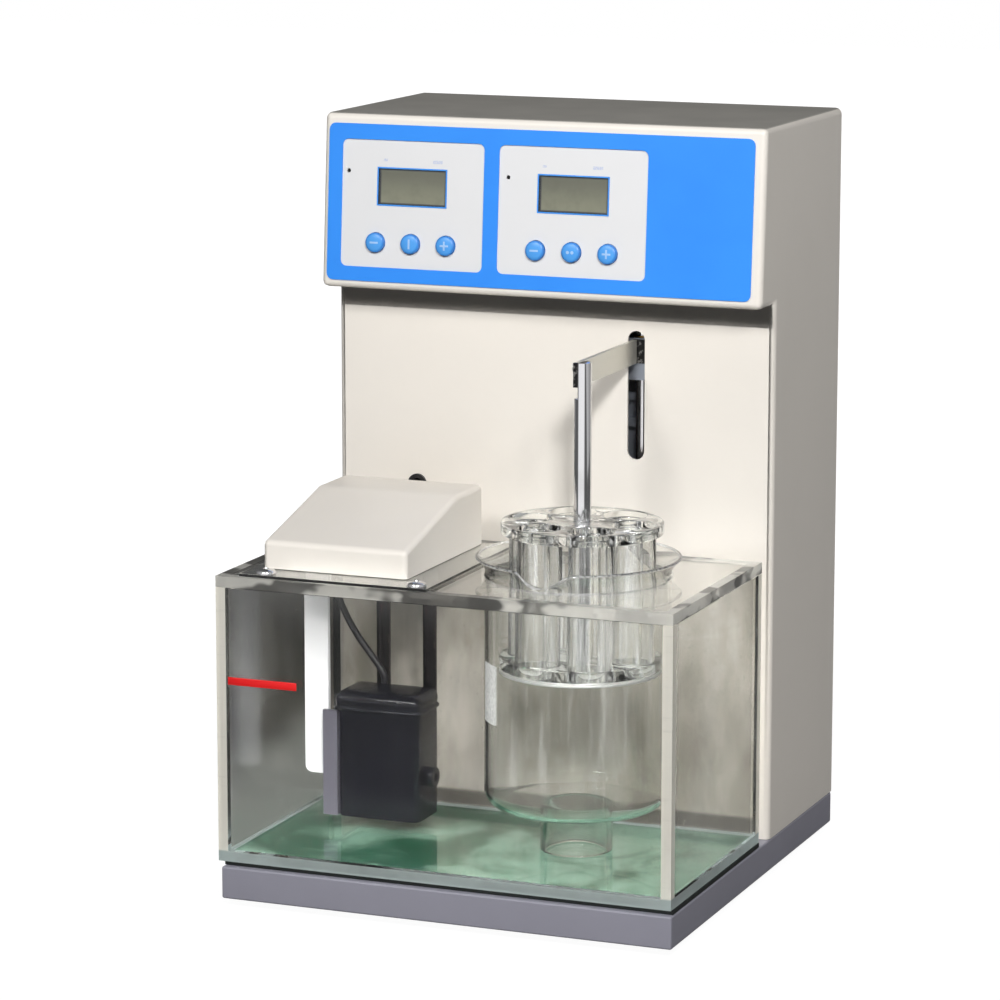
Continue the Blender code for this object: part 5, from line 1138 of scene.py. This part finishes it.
def make_cable(plastic):
    """The pump's cable: a round section carried along the smooth route of its solid."""
    low, high = (Vector(c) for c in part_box("pump_cable"))
    y = (low.y + high.y) / 2
    start = Vector((low.x + CABLE_RADIUS, y, high.z))
    end = Vector((high.x - CABLE_RADIUS, y, low.z))
    straight = Vector((0, 0, 2 * CABLE_RADIUS))
    points = [start, start - straight * 2]
    for across, down in CABLE_SHARES:
        points.append(Vector((start.x + (end.x - start.x) * across, y,
                              start.z + (end.z - start.z) * down)))
    points += [end + straight, end]
    route = smooth_route(points, 1.0 * MM)
    grid = carried_grid([tuple(p) for p in route], circle_section(CABLE_RADIUS, 24))
    cable = pieces_mesh("pump_cable_sheath", [(grid, False, True, True)], plastic)
    dress(cable, "heater_unit", ["pump_cable"])
    length = sum((b - a).length for a, b in zip(route, route[1:]))


# The lid's side: how far each ring is drawn in, and its height, in millimetres
LID_SIDE = ((0.9, 0.0), (0.3, 0.15), (0.0, 0.8), (0.05, 1.5), (0.5, 2.2), (1.1, 2.6), (1.2, 3.2),
            (0.9, 4.2), (0.8, 5.4), (0.9, 6.6), (1.3, 7.8), (2.1, 9.0), (3.4, 10.0), (5.4, 10.8),
            (8.5, 11.15), (15.9, 11.2))


def make_lid(plastic):
    """The pump's lid: rounded rectangles one above the other, with a bead along the foot and a
    domed top, and the cable's gland on it.

    Each ring's corners are quarter circles about points that lie inside the corners by the
    ring's radius, which shrinks by as much as the ring is drawn in.
    """
    low, high = (np.array(c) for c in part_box("pump_lid"))
    quarter = np.linspace(0, math.pi / 2, 7)
    angle = np.concatenate([quarter + k * math.pi / 2 for k in range(4)])
    side = np.stack([np.repeat([1, -1, -1, 1], 7), np.repeat([1, 1, -1, -1], 7)], -1)
    around = np.stack([np.cos(angle), np.sin(angle)], -1)
    rings = []
    for inset, rise in LID_SIDE:
        radius = max(5.2 - inset, 1.0) * MM
        half = (high - low)[:2] / 2 - inset * MM - radius
        flat = (low + high)[:2] / 2 + side * half + around * radius
        rings.append(np.column_stack([flat, np.full(len(flat), low[2] + rise * MM)]))
    cable_low, cable_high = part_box("pump_cable")
    foot = (cable_high[0] - CABLE_RADIUS, (cable_low[1] + cable_high[1]) / 2, low[2] + 9 * MM)
    top = high[2] - foot[2]
    collar = turned_grid([[0, 0], [3.6 * MM, 0], [3.6 * MM, top - 0.5 * MM],
                          [3.1 * MM, top], [0, top]], foot, 32)
    lid = pieces_mesh("pump_lid_moulding", [(np.array(rings), False, True, True),
                                            (collar, False, True, False)], plastic)
    dress(lid, "heater_unit", ["pump_lid"])


def make_unit():
    repaint("mounting_plate", clear_acrylic())
    # Painted reflection: the heater's steel is given a dark colour that stands in for the dark
    # surroundings it mirrors.
    steel = polished_steel("heater_steel", (800, 800, 12), 0.10, (88, 84, 86))
    low, high = (Vector(c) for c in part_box("heater_tube"))
    radius = 4.0 * MM
    bend = (high.x - low.x) / 2 - radius
    middle = (low.x + high.x) / 2
    y = (low.y + high.y) / 2
    centre = low.z + radius + bend
    turn = np.linspace(math.pi, TAU, 28)
    arc = np.stack([middle + bend * np.cos(turn), np.full_like(turn, y),
                    centre + bend * np.sin(turn)], -1)
    legs = np.linspace(high.z, centre, 12)[:-1]
    down = np.stack([np.full_like(legs, middle - bend), np.full_like(legs, y), legs], -1)
    up = down[::-1] + [2 * bend, 0, 0]
    grid = carried_grid(np.vstack([down, arc, up]), circle_section(radius, 32))
    heater = pieces_mesh("heater_tube_sheath", [(grid, False, True, True)], steel)
    dress(heater, "heater_unit", ["heater_tube"])
    repaint("level_sensor", moulded_plastic("sensor_plastic", srgb(254, 254, 255), 0.32, 600.0,
                                            0.1, 0.2))
    black = moulded_plastic("pump_plastic", srgb(18, 19, 26), 0.15, 1400.0, 0.08, 0.02)
    smoothed("pump_body", black)
    make_lid(black)
    repaint("pump_bracket", moulded_plastic("bracket_plastic", srgb(96, 94, 104), 0.45))
    smoothed("impeller", moulded_plastic("impeller_plastic", srgb(80, 82, 88), 0.5))
    make_cable(moulded_plastic("cable_plastic", srgb(15, 15, 19), 0.45, 800.0, 0.08, 0.05))
    make_housing_screws()


def make_housing_screws():
    """Two dome-headed screws that hold the mounting plate, in front of the housing."""
    low, high = (Vector(c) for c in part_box("mounting_plate"))
    steel = polished_steel("dome_steel", (300, 300, 300), 0.12)
    groups = []
    for x in (1 * MM - 107.7 * MM, 1 * MM - 18.0 * MM):
        groups.append(screw_grid((x, low.y + 6.0 * MM, high.z), (0, 0, 1), 5.6 * MM, 3.0 * MM))
    dress(pieces_mesh("plate_screws", groups, steel), "heater_unit")


def make_electrics():
    black = moulded_plastic("socket_plastic", srgb(26, 26, 28), 0.4, 900.0, 0.2)
    for node in ("heater_socket", "mains_inlet", "switch_frame"):
        smoothed(node, black)
    smoothed("switch_rocker", moulded_plastic("rocker_plastic", srgb(24, 24, 26), 0.3))
    low, high = (Vector(c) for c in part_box("mains_inlet"))
    x, z = (low.x + high.x) / 2, (low.z + high.z) / 2
    groups = []
    for dx, dz in ((-7, -2), (0, 3), (7, -2)):
        a = (x + (dx - 1) * MM, high.y - 15.5 * MM, z + (dz - 2) * MM)
        b = (x + (dx + 1) * MM, high.y - 3 * MM, z + (dz + 2) * MM)
        groups.append((block_grid(a, b, 0.4 * MM), False, True, True))
    pins = pieces_mesh("inlet_pins", groups, polished_steel("pin_plate", (300, 300, 300), 0.15))
    dress(pins, "stand")


# Stage

# Each lamp: name, azimuth and elevation from the column's middle, how far off it stands,
# its width and height, and its power. A gleam is seen by polished pieces only.
LAMPS = (
    ("key_lamp", 26.0, 27.5, 1.7, 0.16, 0.16, 16.6),
    ("high_right_lamp", 40.0, 33.0, 1.9, 0.34, 0.30, 5.6),
    ("high_left_lamp", -8.0, 34.5, 1.9, 0.40, 0.34, 12.5),
    ("rear_left_lamp", 226.0, 7.0, 1.7, 0.9, 0.7, 7.5),
    ("rear_right_lamp", 160.0, 7.0, 1.7, 0.9, 0.7, 6.5),
    ("front_gleam", -23.0, 27.0, 1.5, 0.30, 0.16, 2.2),
)
LAMP_AIM = Vector((20.0, 0.0, 290.0)) * MM
WORLD_LIGHT = 0.025
# The head's shade on the column: the column's face, the shade's foot and its light
COLUMN_FACE = 23.3 * MM
SHADE_FOOT = 318.4 * MM
SHADE_LEVEL = 0.02
# Polished pieces see the floor at the first level, and brighter by the second far in front
FLOOR_SHEEN = 0.13
SHEEN_RISE = 0.95
SHEEN_SIDE = (math.sin(math.radians(4)), -math.cos(math.radians(4)))
FLOOR_GREY = srgb(205, 205, 205)


def make_stage():
    scene = bpy.context.scene
    scene.view_settings.view_transform = "Standard"
    # Light passes the walls of tank, beaker and tubes one after another
    scene.cycles.max_bounces = 28
    scene.cycles.transmission_bounces = 28
    scene.cycles.transparent_max_bounces = 28
    make_floor()
    make_surroundings()
    make_cards()
    for lamp in LAMPS:
        add_lamp(*lamp)
    add_camera()


def make_floor():
    """A pale floor: where it is seen it glows white, and near the object it takes its shadow.

    Polished pieces show it as a dim floor. It throws no glow on the object, so light that has
    left a dull surface meets the plain floor.
    """
    f = Finish("floor", FLOOR_GREY, 0.9)
    rays = f.node("LightPath").socket.node
    camera, through, dull, mirrored = (Tone(f, rays.outputs[name]) for name in
                                       ("Is Camera Ray", "Is Transmission Ray",
                                        "Diffuse Depth", "Glossy Depth"))
    direct = dull < 0.5
    plain = direct * (mirrored < 0.5)
    glow = f.node("Emission", None, {0: (1.0, 1.0, 1.0), 1: 1.12})
    x, y, _ = f.axes(f.place())
    reach = f.math("SQRT", x * x + y * y + 1e-6)
    turned = (x * SHEEN_SIDE[0] + y * SHEEN_SIDE[1]) / reach
    rise = f.band(turned, 0.70, 0.86) * f.band(reach, 0.85, 1.15) * SHEEN_RISE
    grey = f.node("CombineXYZ", None, dict.fromkeys(range(3), rise + FLOOR_SHEEN))
    dim = f.node("Emission", None, {0: grey, 1: 1.0})
    far = f.band(x * x + y * y, 0.16, 0.8)
    seen = f.math("MAXIMUM", camera, through) * plain
    f.set("Base Color", f.mix(direct, tuple(c * 0.4 for c in FLOOR_GREY), FLOOR_GREY))
    floor = f.blend(direct - plain, f.lit(), dim)
    f.output(f.blend(seen * (0.86 + far * 0.14), floor, glow))
    size = 6.0
    mesh = bpy.data.meshes.new("floor")
    mesh.from_pydata([(-size, -size, 0), (size, -size, 0), (size, size, 0), (-size, size, 0)],
                     [], [(0, 1, 2, 3)])
    mesh.materials.append(f.material)
    floor = bpy.data.objects.new("floor", mesh)
    bpy.context.scene.collection.objects.link(floor)


def make_surroundings():
    """A white background, and faint light from all round.

    Polished pieces show it as a room that is bright at the front and dark at the rear: the
    strength follows the cosine of the direction's azimuth.
    """
    world = bpy.data.worlds.new("studio")
    bpy.context.scene.world = world
    world.use_nodes = True
    tree = world.node_tree
    background = tree.nodes["Background"]
    background.inputs["Color"].default_value = (1, 1, 1, 1)

    def node(kind, **sockets):
        made = tree.nodes.new("ShaderNode" + kind)
        for key, value in sockets.items():
            socket = made.inputs[int(key[1:]) if key[0] == "i" and key[1:].isdigit() else key]
            if isinstance(value, bpy.types.NodeSocket):
                tree.links.new(value, socket)
            else:
                socket.default_value = value
        return made

    def maths(operation, first, second=0.0):
        made = node("Math", i0=first, i1=second)
        made.operation = operation
        return made.outputs[0]

    ray = node("LightPath")
    direct = maths("LESS_THAN", ray.outputs["Diffuse Depth"], 0.5)
    seen = maths("MAXIMUM", ray.outputs["Is Camera Ray"], ray.outputs["Is Transmission Ray"])
    plain = maths("MULTIPLY", direct, maths("LESS_THAN", ray.outputs["Glossy Depth"], 0.5))
    seen = maths("MULTIPLY", seen, plain)
    split = node("SeparateXYZ", i0=node("TexCoord").outputs["Generated"])
    azimuth = maths("ARCTAN2", split.outputs[0], maths("MULTIPLY", split.outputs[1], -1.0))
    turned_off = maths("SUBTRACT", azimuth, math.radians(24.0))
    level = maths("MULTIPLY_ADD", maths("COSINE", turned_off), 0.30)
    level.node.inputs[2].default_value = 0.40
    shine = maths("MULTIPLY", level, maths("SUBTRACT", direct, plain))
    strength = maths("MAXIMUM", maths("MAXIMUM", seen, shine), WORLD_LIGHT)
    tree.links.new(strength, background.inputs["Strength"])


def add_card(name, line, low, high, glow, shown_to):
    """A card that stands along a line on the floor, and that only some rays meet."""
    f = Finish(name, (0.0, 0.0, 0.0), 1.0)
    f.output(glow(f) if glow else f.lit())
    points = [(x, y, z) for x, y in line for z in (low, high)]
    faces = [(i, i + 2, i + 3, i + 1) for i in range(0, len(points) - 2, 2)]
    mesh = bpy.data.meshes.new(name)
    mesh.from_pydata(points, [], faces)
    mesh.materials.append(f.material)
    card = bpy.data.objects.new(name, mesh)
    bpy.context.scene.collection.objects.link(card)
    for kind in ("camera", "diffuse", "glossy", "transmission", "shadow"):
        setattr(card, "visible_" + kind, kind in shown_to)
    return card


def make_cards():
    """Two cards. Clear walls show the first, grey and paler at its foot, in place of the bright
    room. The second stands close before the column's top, under the head, and keeps the light
    from it, so the column lies in deep shade there."""
    def glow(f):
        _, _, height = f.axes(f.place())
        cloud = f.noise(26.0, 3.0)
        pale = 1 - f.band(height + (cloud - 0.5) * 50 * MM, 40 * MM, 85 * MM)
        grey = f.mix(pale, srgb(30, 31, 30), srgb(136, 139, 134))
        return f.node("Emission", None, {0: grey, 1: 1.0})

    low, high = (Vector(c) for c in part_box("case_shell"))
    left, rear = -158 * MM, 36 * MM
    add_card("shade_card", [(left, -150 * MM), (left, rear), (low.x - 0.5 * MM, rear)],
             4 * MM, 178 * MM, glow, ("transmission",))
    front = COLUMN_FACE - 1.5 * MM
    add_card("head_flag", [(low.x + MM, front), (high.x - MM, front)], SHADE_FOOT,
             FACE_FOOT.z - 0.6 * MM, lambda f: f.node("Emission", None, {1: SHADE_LEVEL}),
             ("diffuse", "shadow"))


def add_lamp(name, azimuth, elevation, distance, wide, tall, power):
    """A square lamp that looks at the column, from an azimuth counted from the front."""
    azimuth, elevation = math.radians(azimuth), math.radians(elevation)
    flat = math.cos(elevation) * distance
    away = Vector((math.sin(azimuth) * flat, -math.cos(azimuth) * flat,
                   math.sin(elevation) * distance))
    data = bpy.data.lights.new(name, "AREA")
    data.shape = "RECTANGLE"
    data.size, data.size_y = wide, tall
    data.energy = power
    lamp = bpy.data.objects.new(name, data)
    lamp.location = LAMP_AIM + away
    lamp.rotation_euler = (-away).to_track_quat("-Z", "Y").to_euler()
    lamp.visible_camera = False
    rear = name.startswith("rear")
    lamp.visible_glossy = not rear
    lamp.visible_transmission = not rear
    lamp.visible_diffuse = not name.endswith("gleam")
    bpy.context.scene.collection.objects.link(lamp)


def add_camera():
    data = bpy.data.cameras.new("camera")
    data.sensor_width = SENSOR
    data.lens = FOCAL_PX / IMAGE_PX * SENSOR
    data.shift_x = (IMAGE_PX / 2 - OPTICAL_AXIS_PX[0]) / IMAGE_PX
    data.shift_y = (OPTICAL_AXIS_PX[1] - IMAGE_PX / 2) / IMAGE_PX
    camera = bpy.data.objects.new("camera", data)
    flat = math.cos(CAMERA_ELEVATION) * CAMERA_DISTANCE
    camera.location = AIM + Vector((math.sin(CAMERA_AZIMUTH) * flat,
                                    -math.cos(CAMERA_AZIMUTH) * flat,
                                    math.sin(CAMERA_ELEVATION) * CAMERA_DISTANCE))
    turn = Matrix.Rotation(CAMERA_AZIMUTH, 4, "Z")
    turn = turn @ Matrix.Rotation(math.pi / 2 - CAMERA_ELEVATION, 4, "X")
    turn = turn @ Matrix.Rotation(CAMERA_ROLL, 4, "Z")
    camera.rotation_euler = turn.to_euler()
    bpy.context.scene.collection.objects.link(camera)
    bpy.context.scene.camera = camera


make_case(ivory_enamel())
make_base()
make_panel()
make_tank()
make_beaker()
make_basket()
make_lift()
make_unit()
make_electrics()
make_stage()
